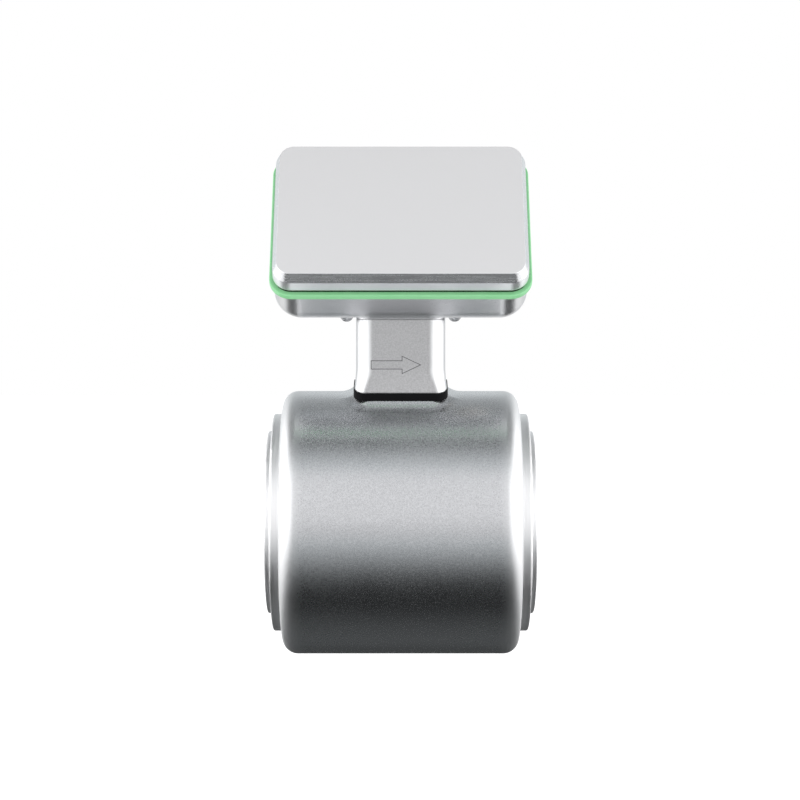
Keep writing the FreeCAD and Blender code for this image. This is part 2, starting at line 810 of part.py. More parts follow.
def make_core_screw(name, lower):
    """Low-head screw that clamps both yoke halves to the core."""
    body = new_body("core_screw_" + name)
    head = size("core_screw_head") / 2
    seat = YOKE_OUT
    top = seat + size("core_screw_head_height")
    shank = size("core_screw") / 2
    end = YOKE_OUT - size("core_screw_length") * 0.9
    profile = [(0, end), (shank, end), (shank, seat), (head, seat), (head - 0.6, top), (0, top)]
    turn(body, draw_polygon(new_sketch(body, "XZ_Plane"), profile), "Z_Axis")
    socket = draw_hexagon(new_sketch(body, "XY_Plane", top), size("core_screw") * 0.6)
    cut(body, socket, size("core_screw_head_height") * 0.7)
    flip_down(body, lower)
    return body


# ------------------------------------------------------------------------- neck


def trim_to_saddle(body, inner, half_width):
    """Cut away what lies nearer to the pipe axis than the given radius."""
    profile = [(-half_width, 0), (half_width, 0), (half_width, inner), (-half_width, inner)]
    turn_out(body, draw_polygon(new_sketch(body, "XY_Plane"), profile), "X_Axis")


def make_neck_gasket():
    """Saddle gasket between the collar and the foot of the neck."""
    body = new_body("neck_gasket")
    outline = draw_rounded(new_sketch(body, "XY_Plane"), GASKET_HALF_WIDTH, GASKET_HALF_DEPTH,
                           GASKET_CORNER)
    draw_circles(outline, [(0, 0)], size("passage_diameter") / 2)
    draw_circles(outline, corners_of(size("neck_screw_x"), size("neck_screw_y")),
                 size("neck_screw") / 2)
    grow(body, outline, SADDLE * 1.1)
    width = GASKET_HALF_WIDTH * 1.2
    trim_to_saddle(body, COLLAR, width)
    above = [(-width, SADDLE), (width, SADDLE), (width, SADDLE * 1.2), (-width, SADDLE * 1.2)]
    turn_out(body, draw_polygon(new_sketch(body, "XY_Plane"), above), "X_Axis")
    return body


def make_neck_column():
    """Cast neck: a rounded column whose foot flares out and is cut to sit on the drum."""
    body = new_body("neck_column")
    half_width = size("neck_width") / 2
    half_depth = size("neck_depth") / 2
    corner = size("neck_corner")
    flare_top = DRUM + size("flare_top_height")
    flare_foot = SADDLE - size("foot_drop")
    column = draw_rounded(new_sketch(body, "XY_Plane", flare_top), half_width, half_depth, corner)
    column_pad = grow(body, column, NECK_TOP - flare_top)
    seam = NECK_TOP.value
    edge_break = body.newObject("PartDesign::Chamfer", "neck_column_seam")
    edge_break.Base = (column_pad, pick_edges(column_pad, lambda p: near(p.z, seam)))
    edge_break.Size = SIZES["seam_chamfer"]
    bind(edge_break, "Size", size("seam_chamfer"))

    sections = []
    for share, drop in ((0.0, 0.0), (0.12, 0.2), (0.5, 0.55), (1.0, 1.0)):
        level = flare_top - (flare_top - flare_foot) * drop
        spread = size("foot_flare") * share
        rounding = corner - (corner - size("foot_corner")) * share
        sections.append(draw_rounded(new_sketch(body, "XY_Plane", level), half_width + spread,
                                     half_depth + spread, rounding))
    loft = body.newObject("PartDesign::AdditiveLoft", "neck_flare")
    loft.Profile = sections[0]
    loft.Sections = sections[1:]
    trim_to_saddle(body, SADDLE, FOOT_HALF_WIDTH * 1.2)

    wall = size("neck_wall")
    inside = draw_rounded(new_sketch(body, "XY_Plane", NECK_TOP), half_width - wall,
                          half_depth - wall, corner - wall)
    cut(body, inside, NECK_TOP - NECK_FLOOR)
    joint_places = corners_of(size("joint_screw_x"), size("joint_screw_y"))
    bosses = draw_circles(new_sketch(body, "XY_Plane", NECK_TOP), joint_places,
                          size("joint_boss") / 2)
    grow(body, bosses, size("joint_boss_height"), downwards=True)
    threads = draw_circles(new_sketch(body, "XY_Plane", NECK_TOP), joint_places,
                           size("neck_screw") / 2)
    cut(body, threads, size("joint_screw_length"))
    foot_holes = new_sketch(body, "XY_Plane", NECK_FLOOR)
    draw_circles(foot_holes, [(0, 0)], size("passage_diameter") / 2)
    draw_circles(foot_holes, corners_of(size("neck_screw_x"), size("neck_screw_y")),
                 size("neck_screw") / 2)
    cut(body, foot_holes, SADDLE)

    board_seat = NECK_FLOOR + size("sensor_board_lift")
    props = draw_circles(new_sketch(body, "XY_Plane", board_seat), sensor_screw_places(),
                         size("sensor_boss") / 2)
    grow(body, props, size("sensor_board_lift"), downwards=True)
    pilots = draw_circles(new_sketch(body, "XY_Plane", board_seat), sensor_screw_places(),
                          size("sensor_screw") / 2)
    cut(body, pilots, size("sensor_screw_length"))

    groove = new_sketch(body, "XY_Plane", NECK_TOP)
    draw_seal_outline(groove)
    cut(body, groove, size("joint_seal_depth"))
    return body


def sensor_screw_places():
    inset = size("sensor_screw_inset")
    return corners_of(size("sensor_board_width") / 2 - inset,
                      size("sensor_board_depth") / 2 - inset)


def make_sensor_board():
    """Amplifier board on four bosses above the floor of the neck."""
    body = new_body("sensor_board")
    seat = NECK_FLOOR + size("sensor_board_lift")
    sketch = new_sketch(body, "XY_Plane", seat)
    draw_rounded(sketch, size("sensor_board_width") / 2, size("sensor_board_depth") / 2,
                 size("sensor_board_corner"))
    draw_circles(sketch, sensor_screw_places(), size("sensor_screw") / 2)
    grow(body, sketch, size("board_thickness"))
    return body


def make_sensor_board_screws():
    body = new_body("sensor_board_screws")
    seat = NECK_FLOOR + size("sensor_board_lift") + size("board_thickness")
    places = sensor_screw_places()
    grow(body, draw_circles(new_sketch(body, "XY_Plane", seat), places,
                            size("sensor_screw_head") / 2), size("sensor_screw_head_height"))
    shanks = draw_circles(new_sketch(body, "XY_Plane", seat), places,
                          size("sensor_screw") / 2)
    grow(body, shanks, size("sensor_screw_length"), downwards=True)
    return body


def draw_seal_outline(sketch):
    """Racetrack of the seal in the top face of the neck, midway in its wall."""
    wall = size("neck_wall")
    half_seal = size("joint_seal_width") / 2
    for shift in (half_seal, -half_seal):
        inset = wall / 2 - shift
        draw_rounded(sketch, size("neck_width") / 2 - inset, size("neck_depth") / 2 - inset,
                     size("neck_corner") - inset)


def make_joint_seal():
    """Seal ring between the neck and the head's stub."""
    body = new_body("neck_top_seal")
    sketch = new_sketch(body, "XY_Plane", NECK_TOP)
    draw_seal_outline(sketch)
    grow(body, sketch, size("joint_seal_depth"), downwards=True)
    return body


def make_socket_screws(label, places, seat, length):
    """Socket-head screws standing upright, heads on the seat height."""
    body = new_body(label)
    height = size("neck_screw_head_height")
    heads = draw_circles(new_sketch(body, "XY_Plane", seat), places,
                         size("neck_screw_head") / 2)
    grow(body, heads, height)
    shanks = draw_circles(new_sketch(body, "XY_Plane", seat + height * 0.5), places,
                          size("neck_screw") / 2)
    grow(body, shanks, length + height * 0.5, downwards=True)
    sockets = new_sketch(body, "XY_Plane", seat + height)
    for place in places:
        draw_hexagon(sockets, size("neck_screw") * 0.75, place)
    cut(body, sockets, height * 0.5)
    return body


# ------------------------------------------------------------------------- head housing


def shell_back_screws():
    return corners_of(size("cover_screw_x"), size("cover_screw_y"))


def tilted_plane(body):
    """Datum plane at the head's parting plane."""
    plane = body.newObject("PartDesign::Plane", body.Name + "_parting_plane")
    plane.AttachmentSupport = (origin_feature(body, "XY_Plane"), [""])
    plane.MapMode = "FlatFace"
    base = Vector(0, -HEAD_FORWARD.value, HEAD_LIFT.value)
    plane.AttachmentOffset = Placement(base, Rotation(Vector(1, 0, 0), TILT.value))
    bind(plane, "AttachmentOffset.Base.y", -HEAD_FORWARD)
    bind(plane, "AttachmentOffset.Base.z", HEAD_LIFT)
    bind(plane, "AttachmentOffset.Rotation.Angle", TILT)
    return plane


def head_depth(point):
    """How far a world point lies out from the head's parting plane."""
    angle = math.radians(TILT.value)
    dy = point.y + HEAD_FORWARD.value
    dz = point.z - HEAD_LIFT.value
    return dz * math.cos(angle) - dy * math.sin(angle)


def make_shell_cavity():
    """What is hollow in the rear shell: the tray behind the boards and the way into the neck."""
    body = new_body("rear_shell_cavity", node=False)
    plane = tilted_plane(body)
    wall = size("shell_wall")
    outline = draw_rounded(new_sketch(body, plane), HEAD_HALF_WIDTH - wall,
                           HEAD_HALF_HEIGHT - wall, size("shell_corner") - wall)
    tray = grow(body, outline, size("shell_depth") - wall, downwards=True)
    floor = SHELL_FLOOR.value
    round_edges(body, tray, size("shell_back_radius") - wall,
                lambda p: near(head_depth(p), floor))

    # The way through the stub, drawn from the side and carried across the neck's inner width.
    side_wall = size("neck_wall")
    half_depth = size("neck_depth") / 2
    front = side_wall - half_depth
    rear = half_depth - side_wall
    outer_y, outer_z = head_to_world(size("stub_reach"), -size("shell_depth"))
    rear_top = NECK_TOP + size("stub_rear_height")
    slope = (outer_z - rear_top) / (half_depth - outer_y)
    drop = side_wall * root(1 + slope * slope)
    slope_foot = rear_top + slope * side_wall - drop
    in_y = outer_y - size("shell_wall") * 2
    in_z = rear_top + slope * (half_depth - in_y) - drop
    far_y, far_z = head_to_world(-HEAD_HALF_HEIGHT * 0.6, SHELL_FLOOR + wall * 1.5)
    top_y, top_z = head_to_world(as_size(0.0), SHELL_FLOOR + wall * 1.5)
    outline = [(front, STUB_FLOOR_TOP), (rear, STUB_FLOOR_TOP), (rear, slope_foot),
               (in_y, in_z), (top_y, top_z), (far_y, far_z), (front, far_z)]
    sketch = draw_polygon(new_sketch(body, "YZ_Plane"), outline)
    grow(body, sketch, size("neck_width") - side_wall * 2, both_ways=True)
    return body


def outline_gap(point):
    """Distance of a point from the neck's outline, seen from above."""
    corner = SIZES["neck_corner"]
    dx = abs(point.x) - (SIZES["neck_width"] / 2 - corner)
    dy = abs(point.y) - (SIZES["neck_depth"] / 2 - corner)
    if dx > 0 and dy > 0:
        return math.hypot(dx, dy) - corner
    return max(dx, dy) - corner


def blend_stub(body):
    """Concave blend where the stub runs into the shell."""
    stub = body.Tip
    lowest = NECK_TOP.value + 1e-3

    def on_junction(point):
        depth = head_depth(point)
        inside_shell = -SIZES["shell_depth"] + 1e-3 < depth < -1e-3
        return near(outline_gap(point), 0.0, 2e-3) and point.z > lowest and inside_shell

    round_edges(body, stub, size("stub_blend"), on_junction)


def make_rear_shell():
    """Rear half of the head, with the stub that carries it on the neck cast on."""
    cavity = make_shell_cavity()
    body = new_body("rear_shell")
    plane = tilted_plane(body)
    outline = draw_rounded(new_sketch(body, plane), HEAD_HALF_WIDTH, HEAD_HALF_HEIGHT,
                           size("shell_corner"))
    tray = grow(body, outline, size("shell_depth"), downwards=True)
    back = -SIZES["shell_depth"]
    round_edges(body, tray, size("shell_back_radius"), lambda p: near(head_depth(p), back))

    half_depth = size("neck_depth") / 2
    reach_y, reach_z = head_to_world(size("stub_reach"), -size("shell_depth"))
    stub = draw_rounded(new_sketch(body, "XY_Plane", NECK_TOP), size("neck_width") / 2,
                        half_depth, size("neck_corner"))
    grow(body, stub, reach_z - NECK_TOP)
    rear_top = NECK_TOP + size("stub_rear_height")
    beyond = half_depth * 1.2
    slope = (reach_z - rear_top) / (half_depth - reach_y)
    over_z = rear_top - slope * (beyond - half_depth)
    wedge = [(beyond, over_z), (beyond, reach_z + 1), (reach_y, reach_z + 1),
             (reach_y, reach_z)]
    sketch = draw_polygon(new_sketch(body, "YZ_Plane"), wedge)
    cut(body, sketch, size("neck_width") * 1.1, both_ways=True)
    seats = draw_circles(new_sketch(body, plane, SEAT_PLANE), shell_back_screws(),
                         size("seat_diameter") / 2)
    grow(body, seats, size("shell_back_radius") * 0.7)
    blend_stub(body)

    hollow = body.newObject("PartDesign::Boolean", "rear_shell_hollow")
    hollow.Type = "Cut"
    hollow.setObjects([cavity])
    posts = draw_circles(new_sketch(body, plane), shell_back_screws(),
                         size("post_diameter") / 2)
    grow(body, posts, size("shell_depth") - size("shell_wall") * 0.5, downwards=True)
    lugs = draw_circles(new_sketch(body, plane, size("led_lift")), led_lug_places(),
                        size("lug_diameter") / 2)
    grow(body, lugs, size("shell_depth") - size("shell_wall") + size("led_lift"), downwards=True)

    clear = size("cover_screw") / 2 + size("screw_clearance")
    bores = draw_circles(new_sketch(body, plane, size("led_lift")), shell_back_screws(), clear)
    cut(body, bores, size("shell_depth") * 2)
    socket = draw_circles(new_sketch(body, plane, SHELL_FLOOR + 1),
                          [(CONNECTOR_X, size("connector_y"))],
                          size("connector_mount") / 2)
    cut(body, socket, size("shell_wall") * 3)
    floor_holes = new_sketch(body, "XY_Plane", STUB_FLOOR_TOP)
    draw_circles(floor_holes, corners_of(size("joint_screw_x"), size("joint_screw_y")),
                 size("neck_screw") / 2)
    draw_circles(floor_holes, [(0, 0)], size("cable_opening") / 2)
    cut(body, floor_holes, size("stub_floor") * 1.5)
    return body


def make_light_ring():
    """Light-guide ring between the shell and the cover, standing proud of both."""
    body = new_body("light_ring")
    width = size("guide_width")
    sketch = new_sketch(body, "XY_Plane")
    draw_rounded(sketch, RING_HALF_WIDTH, RING_HALF_HEIGHT, size("ring_corner"))
    draw_rounded(sketch, RING_HALF_WIDTH - width, RING_HALF_HEIGHT - width,
                 size("ring_corner") - width)
    ring = grow(body, sketch, size("ring_layer"))
    outside = RING_HALF_HEIGHT.value - 1.0
    across = RING_HALF_WIDTH.value - 1.0
    corner_in = RING_HALF_HEIGHT.value - SIZES["ring_corner"]
    corner_across = RING_HALF_WIDTH.value - SIZES["ring_corner"]
    layer = SIZES["ring_layer"]

    def on_rim(point):
        flat = near(point.z, 0.0) or near(point.z, layer)
        dx = max(abs(point.x) - corner_across, 0.0)
        dy = max(abs(point.y) - corner_in, 0.0)
        in_corner = math.hypot(dx, dy) > SIZES["ring_corner"] - 1.0
        return flat and (abs(point.y) > outside or abs(point.x) > across or in_corner)

    round_edges(body, ring, size("ring_layer") * 0.2, on_rim)
    place_in_head(body)
    return body


def make_cover_seal():
    """Dark gasket in the groove between the cover and the light ring."""
    body = new_body("cover_seal")
    inset = size("seal_recess")
    width = size("guide_width") - size("ring_overhang") - inset
    sketch = new_sketch(body, "XY_Plane", size("ring_layer"))
    corner = size("cover_corner") - inset
    draw_rounded(sketch, HEAD_HALF_WIDTH - inset, HEAD_HALF_HEIGHT - inset, corner)
    draw_rounded(sketch, HEAD_HALF_WIDTH - inset - width, HEAD_HALF_HEIGHT - inset - width,
                 corner - width)
    grow(body, sketch, size("seal_layer"))
    place_in_head(body)
    return body


def make_front_cover():
    """Bevelled cover pan with four threaded posts inside."""
    body = new_body("front_cover")
    outline = draw_rounded(new_sketch(body, "XY_Plane", COVER_BACK), HEAD_HALF_WIDTH,
                           HEAD_HALF_HEIGHT, size("cover_corner"))
    pan = grow(body, outline, size("cover_depth"))
    bevel = body.newObject("PartDesign::Chamfer", "front_cover_bevel")
    front = COVER_FRONT.value
    bevel.Base = (pan, pick_edges(pan, lambda p: near(p.z, front)))
    bevel.ChamferType = "Two distances"
    bevel.Size = SIZES["bevel_depth"]
    bevel.Size2 = SIZES["bevel_inset"]
    bind(bevel, "Size", size("bevel_depth"))
    bind(bevel, "Size2", size("bevel_inset"))
    wall = size("cover_wall")
    inside = draw_rounded(new_sketch(body, "XY_Plane", COVER_BACK), HEAD_HALF_WIDTH - wall,
                          HEAD_HALF_HEIGHT - wall, size("cover_corner") - wall)
    rim_depth = size("cover_depth") - size("bevel_depth")
    cut(body, inside, rim_depth, upwards=True)
    deeper = draw_rounded(new_sketch(body, "XY_Plane", COVER_BACK),
                          HEAD_HALF_WIDTH - wall - size("bevel_inset"),
                          HEAD_HALF_HEIGHT - wall - size("bevel_inset"),
                          size("cover_corner") - wall - size("bevel_inset"))
    cut(body, deeper, size("cover_depth") - wall, upwards=True)
    posts = draw_circles(new_sketch(body, "XY_Plane"), shell_back_screws(),
                         size("post_diameter") / 2)
    grow(body, posts, COVER_INNER + wall * 0.5)
    threads = draw_circles(new_sketch(body, "XY_Plane"), shell_back_screws(),
                           size("cover_screw") / 2)
    cut(body, threads, size("cover_screw_reach") + 1, upwards=True)
    place_in_head(body)
    return body


def make_cover_screws():
    """Four button-head screws from behind, through the shell into the cover."""
    body = new_body("cover_screws")
    head = size("cover_screw_head") / 2
    height = size("cover_screw_head_height")
    places = shell_back_screws()
    heads = grow(body, draw_circles(new_sketch(body, "XY_Plane", SEAT_PLANE), places, head),
                 height, downwards=True)
    outer = (SEAT_PLANE - height).value
    round_edges(body, heads, height * 0.7, lambda p: near(p.z, outer))
    shanks = draw_circles(new_sketch(body, "XY_Plane", SEAT_PLANE - height * 0.4), places,
                          size("cover_screw") / 2)
    grow(body, shanks, size("cover_screw_reach") - SEAT_PLANE + height * 0.4)
    sockets = new_sketch(body, "XY_Plane", SEAT_PLANE - height)
    for place in places:
        draw_hexagon(sockets, size("cover_screw") * 0.625, place)
    cut(body, sockets, height * 0.6, upwards=True)
    place_in_head(body)
    return body


# ------------------------------------------------------------------------- head electronics


def led_board_half():
    """Half sizes of the board inside the light ring."""
    inset = size("guide_width") + size("led_board_gap")
    return RING_HALF_WIDTH - inset, RING_HALF_HEIGHT - inset


def led_lug_places():
    half_width, half_height = led_board_half()
    inset = size("lug_inset")
    return corners_of(half_width - inset, half_height - inset)


def make_led_board():
    """Frame-shaped board that lights the ring, resting on four lugs of the shell."""
    body = new_body("led_board")
    half_width, half_height = led_board_half()
    rim = size("led_board_rim")
    sketch = new_sketch(body, "XY_Plane", size("led_lift"))
    draw_rounded(sketch, half_width, half_height, as_size(4.0))
    draw_rounded(sketch, half_width - rim * 1.4, half_height - rim * 1.4, as_size(3.0))
    draw_circles(sketch, led_lug_places(), size("board_screw") / 2)
    grow(body, sketch, size("board_thickness"))
    clear = size("post_diameter") / 2 + size("led_board_gap")
    notches = draw_circles(new_sketch(body, "XY_Plane", COVER_BACK), shell_back_screws(), clear)
    cut(body, notches, COVER_BACK)
    place_in_head(body)
    return body


def make_status_leds():
    """Side-looking lamps along the edge of the frame board."""
    body = new_body("status_leds")
    half_width, half_height = led_board_half()
    half = size("led_length") / 2
    depth = size("led_length") * 0.45
    sketch = new_sketch(body, "XY_Plane", size("led_lift") + size("board_thickness"))
    outer = (size("cover_screw_x") + half_width) / 2
    inner = size("cover_screw_x") / 2
    for middle in (-outer, -inner, as_size(0.0), inner, outer):
        for side in (1, -1):
            near_edge = (half_height - 1.0) * side
            far_edge = (half_height - 1.0 - depth) * side
            draw_polygon(sketch, [(middle - half, near_edge), (middle + half, near_edge),
                                  (middle + half, far_edge), (middle - half, far_edge)])
    for index in (-1, 0, 1):
        middle = half_height * 0.5 * index
        for side in (1, -1):
            near_edge = (half_width - 1.0) * side
            far_edge = (half_width - 1.0 - depth) * side
            draw_polygon(sketch, [(near_edge, middle - half), (near_edge, middle + half),
                                  (far_edge, middle + half), (far_edge, middle - half)])
    grow(body, sketch, size("led_height"))
    place_in_head(body)
    return body


def make_led_screws():
    """Four screws that hold the frame board on its lugs."""
    body = new_body("led_board_screws")
    seat = size("led_lift") + size("board_thickness")
    places = led_lug_places()
    grow(body, draw_circles(new_sketch(body, "XY_Plane", seat), places,
                            size("board_screw_head") / 2), size("board_screw_head_height"))
    shanks = draw_circles(new_sketch(body, "XY_Plane", seat), places, size("board_screw") / 2)
    grow(body, shanks, size("board_thickness"), downwards=True)
    place_in_head(body)
    return body


def standoff_places():
    inset = size("standoff_inset")
    return corners_of(size("main_board_width") / 2 - inset,
                      size("main_board_height") / 2 - inset)


def board_plane():
    return SHELL_FLOOR + size("standoff_height")


def make_main_board():
    body = new_body("main_board")
    sketch = new_sketch(body, "XY_Plane", board_plane())
    draw_rounded(sketch, size("main_board_width") / 2, size("main_board_height") / 2,
                 as_size(2.0))
    draw_circles(sketch, standoff_places(), size("board_screw") / 2)
    grow(body, sketch, size("board_thickness"))
    place_in_head(body)
    return body


def make_standoffs():
    """Four spacers between the shell's floor and the main board."""
    body = new_body("board_standoffs")
    sketch = new_sketch(body, "XY_Plane", SHELL_FLOOR)
    draw_circles(sketch, standoff_places(), size("standoff_diameter") / 2)
    grow(body, sketch, size("standoff_height"))
    bores = draw_circles(new_sketch(body, "XY_Plane", board_plane()), standoff_places(),
                         size("board_screw") / 2)
    cut(body, bores, size("board_screw_length"))
    place_in_head(body)
    return body


def make_board_screws():
    body = new_body("board_screws")
    seat = board_plane() + size("board_thickness")
    places = standoff_places()
    grow(body, draw_circles(new_sketch(body, "XY_Plane", seat), places,
                            size("board_screw_head") / 2), size("board_screw_head_height"))
    shanks = draw_circles(new_sketch(body, "XY_Plane", seat), places, size("board_screw") / 2)
    grow(body, shanks, size("board_screw_length"), downwards=True)
    place_in_head(body)
    return body


def make_board_components():
    """Main parts on the board: processor, driver, supply choke, capacitors and plug strips."""
    body = new_body("board_components")
    seat = board_plane() + size("board_thickness")
    width = size("main_board_width")
    height = size("main_board_height")

    def block(x, y, wide, deep, tall):
        sketch = new_sketch(body, "XY_Plane", seat)
        left = width * x
        low = height * y
        draw_polygon(sketch, [(left, low), (left + wide, low), (left + wide, low + deep),
                              (left, low + deep)])
        grow(body, sketch, as_size(tall))

    block(-0.10, -0.10, 14.0, 14.0, 1.6)
    block(0.16, 0.12, 10.0, 8.0, 1.4)
    block(0.20, -0.28, 12.0, 12.0, 6.0)
    block(-0.34, -0.28, 18.0, 7.0, 9.0)
    block(-0.34, 0.14, 18.0, 7.0, 9.0)
    cans = draw_circles(new_sketch(body, "XY_Plane", seat),
                        [(width * -0.05, height * 0.32), (width * 0.07, height * 0.32)],
                        as_size(4.0))
    grow(body, cans, as_size(10.0))
    place_in_head(body)
    return body


# ------------------------------------------------------------------------- connector


def connector_centre():
    return [(CONNECTOR_X, size("connector_y"))]


def make_connector_body():
    """Threaded round socket screwed through the back of the shell."""
    body = new_body("connector_body")
    back = -size("shell_depth")
    flange = size("connector_flange_thickness")
    collar = draw_circles(new_sketch(body, "XY_Plane", back), connector_centre(),
                          size("connector_flange") / 2)
    grow(body, collar, flange, downwards=True)
    core = size("connector_thread") / 2 - size("connector_thread_depth")
    barrel = draw_circles(new_sketch(body, "XY_Plane", back), connector_centre(), core)
    grow(body, barrel, flange + size("connector_length"), downwards=True)
    inner = draw_circles(new_sketch(body, "XY_Plane", back), connector_centre(),
                         size("connector_mount") / 2)
    grow(body, inner, size("shell_wall") + size("connector_inner_length"))
    outer_end = back - flange - size("connector_length")
    bore = size("connector_thread") / 2 - size("connector_wall")
    through = draw_circles(new_sketch(body, "XY_Plane", outer_end), connector_centre(), bore)
    cut(body, through, flange + size("connector_length") + size("shell_wall")
        + size("connector_inner_length"), upwards=True)
    place_in_head(body)
    return body


def insert_plane():
    """Outer face of the contact insert, set back inside the barrel."""
    outer_end = -size("shell_depth") - size("connector_flange_thickness")
    return outer_end - size("connector_length") + size("insert_recess")


def make_connector_insert():
    body = new_body("connector_insert")
    bore = size("connector_thread") / 2 - size("connector_wall")
    sketch = new_sketch(body, "XY_Plane", insert_plane())
    draw_circles(sketch, connector_centre(), bore)
    draw_circles(sketch, pin_places(), size("pin_diameter") / 2)
    grow(body, sketch, size("insert_length"))
    place_in_head(body)
    return body


def pin_places():
    """Four contacts on a circle."""
    x, y = connector_centre()[0]
    offset = size("pin_circle") / 2 * cosine(as_size(45.0))
    return [(x + offset, y + offset), (x - offset, y + offset), (x - offset, y - offset),
            (x + offset, y - offset)]


def make_connector_pins():
    body = new_body("connector_pins")
    outer = insert_plane() - (size("pin_length") - size("pin_length") * 0.65)
    sketch = draw_circles(new_sketch(body, "XY_Plane", outer), pin_places(),
                          size("pin_diameter") / 2)
    grow(body, sketch, size("pin_length") * 0.35 + size("insert_length") + size("pin_tail"))
    place_in_head(body)
    return body


def make_connector_nut():
    """Nut that clamps the connector from inside the shell."""
    body = new_body("connector_nut")
    sketch = new_sketch(body, "XY_Plane", SHELL_FLOOR)
    draw_hexagon(sketch, size("connector_nut"), connector_centre()[0])
    draw_circles(sketch, connector_centre(), size("connector_mount") / 2)
    grow(body, sketch, size("connector_nut_height"))
    place_in_head(body)
    return body


# ------------------------------------------------------------------------- build


def build_all():
    make_drum_shell()
    make_measuring_tube()
    make_liner()
    for name, side in (("outlet", 1), ("inlet", -1)):
        make_flange(name, side)
        make_earthing_ring(name, side)
        make_ring_screws(name, side)
        make_process_seal(name, side)
    for name, side in (("rear", 1), ("front", -1)):
        make_electrode(name, side)
        make_insulator(name, side)
        make_electrode_washer(name, side)
        make_electrode_nut(name, side)
        make_yoke(name, side)
    for name, lower in (("upper", False), ("lower", True)):
        make_pole_piece(name, lower)
        make_coil_former(name, lower)
        make_coil_winding(name, lower)
        make_core_screw(name, lower)
    make_neck_gasket()
    make_neck_column()
    make_joint_seal()
    make_socket_screws("neck_screws", corners_of(size("neck_screw_x"), size("neck_screw_y")),
                       NECK_FLOOR, size("neck_screw_length"))
    make_socket_screws("joint_screws", corners_of(size("joint_screw_x"), size("joint_screw_y")),
                       STUB_FLOOR_TOP, size("stub_floor") + size("joint_screw_length"))
    make_sensor_board()
    make_sensor_board_screws()
    make_rear_shell()
    make_light_ring()
    make_cover_seal()
    make_front_cover()
    make_cover_screws()
    make_led_board()
    make_status_leds()
    make_led_screws()
    make_main_board()
    make_standoffs()
    make_board_screws()
    make_board_components()
    make_connector_body()
    make_connector_insert()
    make_connector_pins()
    make_connector_nut()


def check_all():
    """Stop if any object failed or any node has no sound solid."""
    faults = []
    for thing in doc.Objects:
        if "Invalid" in thing.State or "Error" in thing.State:
            faults.append(f"{thing.Name}: {thing.State}")
    for node in NODES:
        if node.Shape.isNull() or not node.Shape.isValid() or not node.Shape.Solids:
            faults.append(f"{node.Label}: no sound solid")
    if faults:
        raise RuntimeError("; ".join(faults))


build_all()
doc.recompute()
check_all()
os.makedirs("parts", exist_ok=True)
for node in NODES:
    node.Shape.exportStep(f"parts/{node.Label}.step")
    print(node.Label, len(node.Shape.Solids), round(node.Shape.Volume, 1))
print(len(NODES), "nodes")
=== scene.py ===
"""Studio scene of an electromagnetic flow meter with a tilted transmitter head.

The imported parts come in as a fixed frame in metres: +X runs along the pipe with the flow, +Z runs
up through the neck, and the front cover looks towards -Y and up.  The script gives every part its
finish, adds the fine pieces that the solids leave out, and sets up the light and the camera.
"""

import logging
import math
from dataclasses import dataclass, field
from enum import Enum

import bmesh
import bpy
from mathutils import Matrix, Vector


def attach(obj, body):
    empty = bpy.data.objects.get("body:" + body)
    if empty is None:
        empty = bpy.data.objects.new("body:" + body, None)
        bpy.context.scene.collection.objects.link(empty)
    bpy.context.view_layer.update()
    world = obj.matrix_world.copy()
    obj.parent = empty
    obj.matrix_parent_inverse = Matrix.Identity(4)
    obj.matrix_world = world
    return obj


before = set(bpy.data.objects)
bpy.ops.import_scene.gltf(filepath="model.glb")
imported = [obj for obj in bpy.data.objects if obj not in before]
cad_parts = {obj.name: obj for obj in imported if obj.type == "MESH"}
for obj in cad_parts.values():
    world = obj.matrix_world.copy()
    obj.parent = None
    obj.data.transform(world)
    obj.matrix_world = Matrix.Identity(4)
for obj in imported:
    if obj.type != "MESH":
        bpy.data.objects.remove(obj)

LOG = logging.getLogger("flow_meter")
MM = 0.001
Colour = tuple[float, float, float]


# --------------------------------------------------------------------------- small helpers


def rgba(colour: Colour) -> tuple[float, float, float, float]:
    """Colour with full alpha."""
    return (*colour, 1.0)


def toned(colour: Colour, factor: float) -> tuple[float, float, float, float]:
    """Make a lighter or darker version of a colour.

    Args:
        colour: The colour to start from.
        factor: What each channel is multiplied by; none goes past full.

    Returns:
        The new colour, with full alpha.
    """
    return rgba(tuple(min(channel * factor, 1.0) for channel in colour))


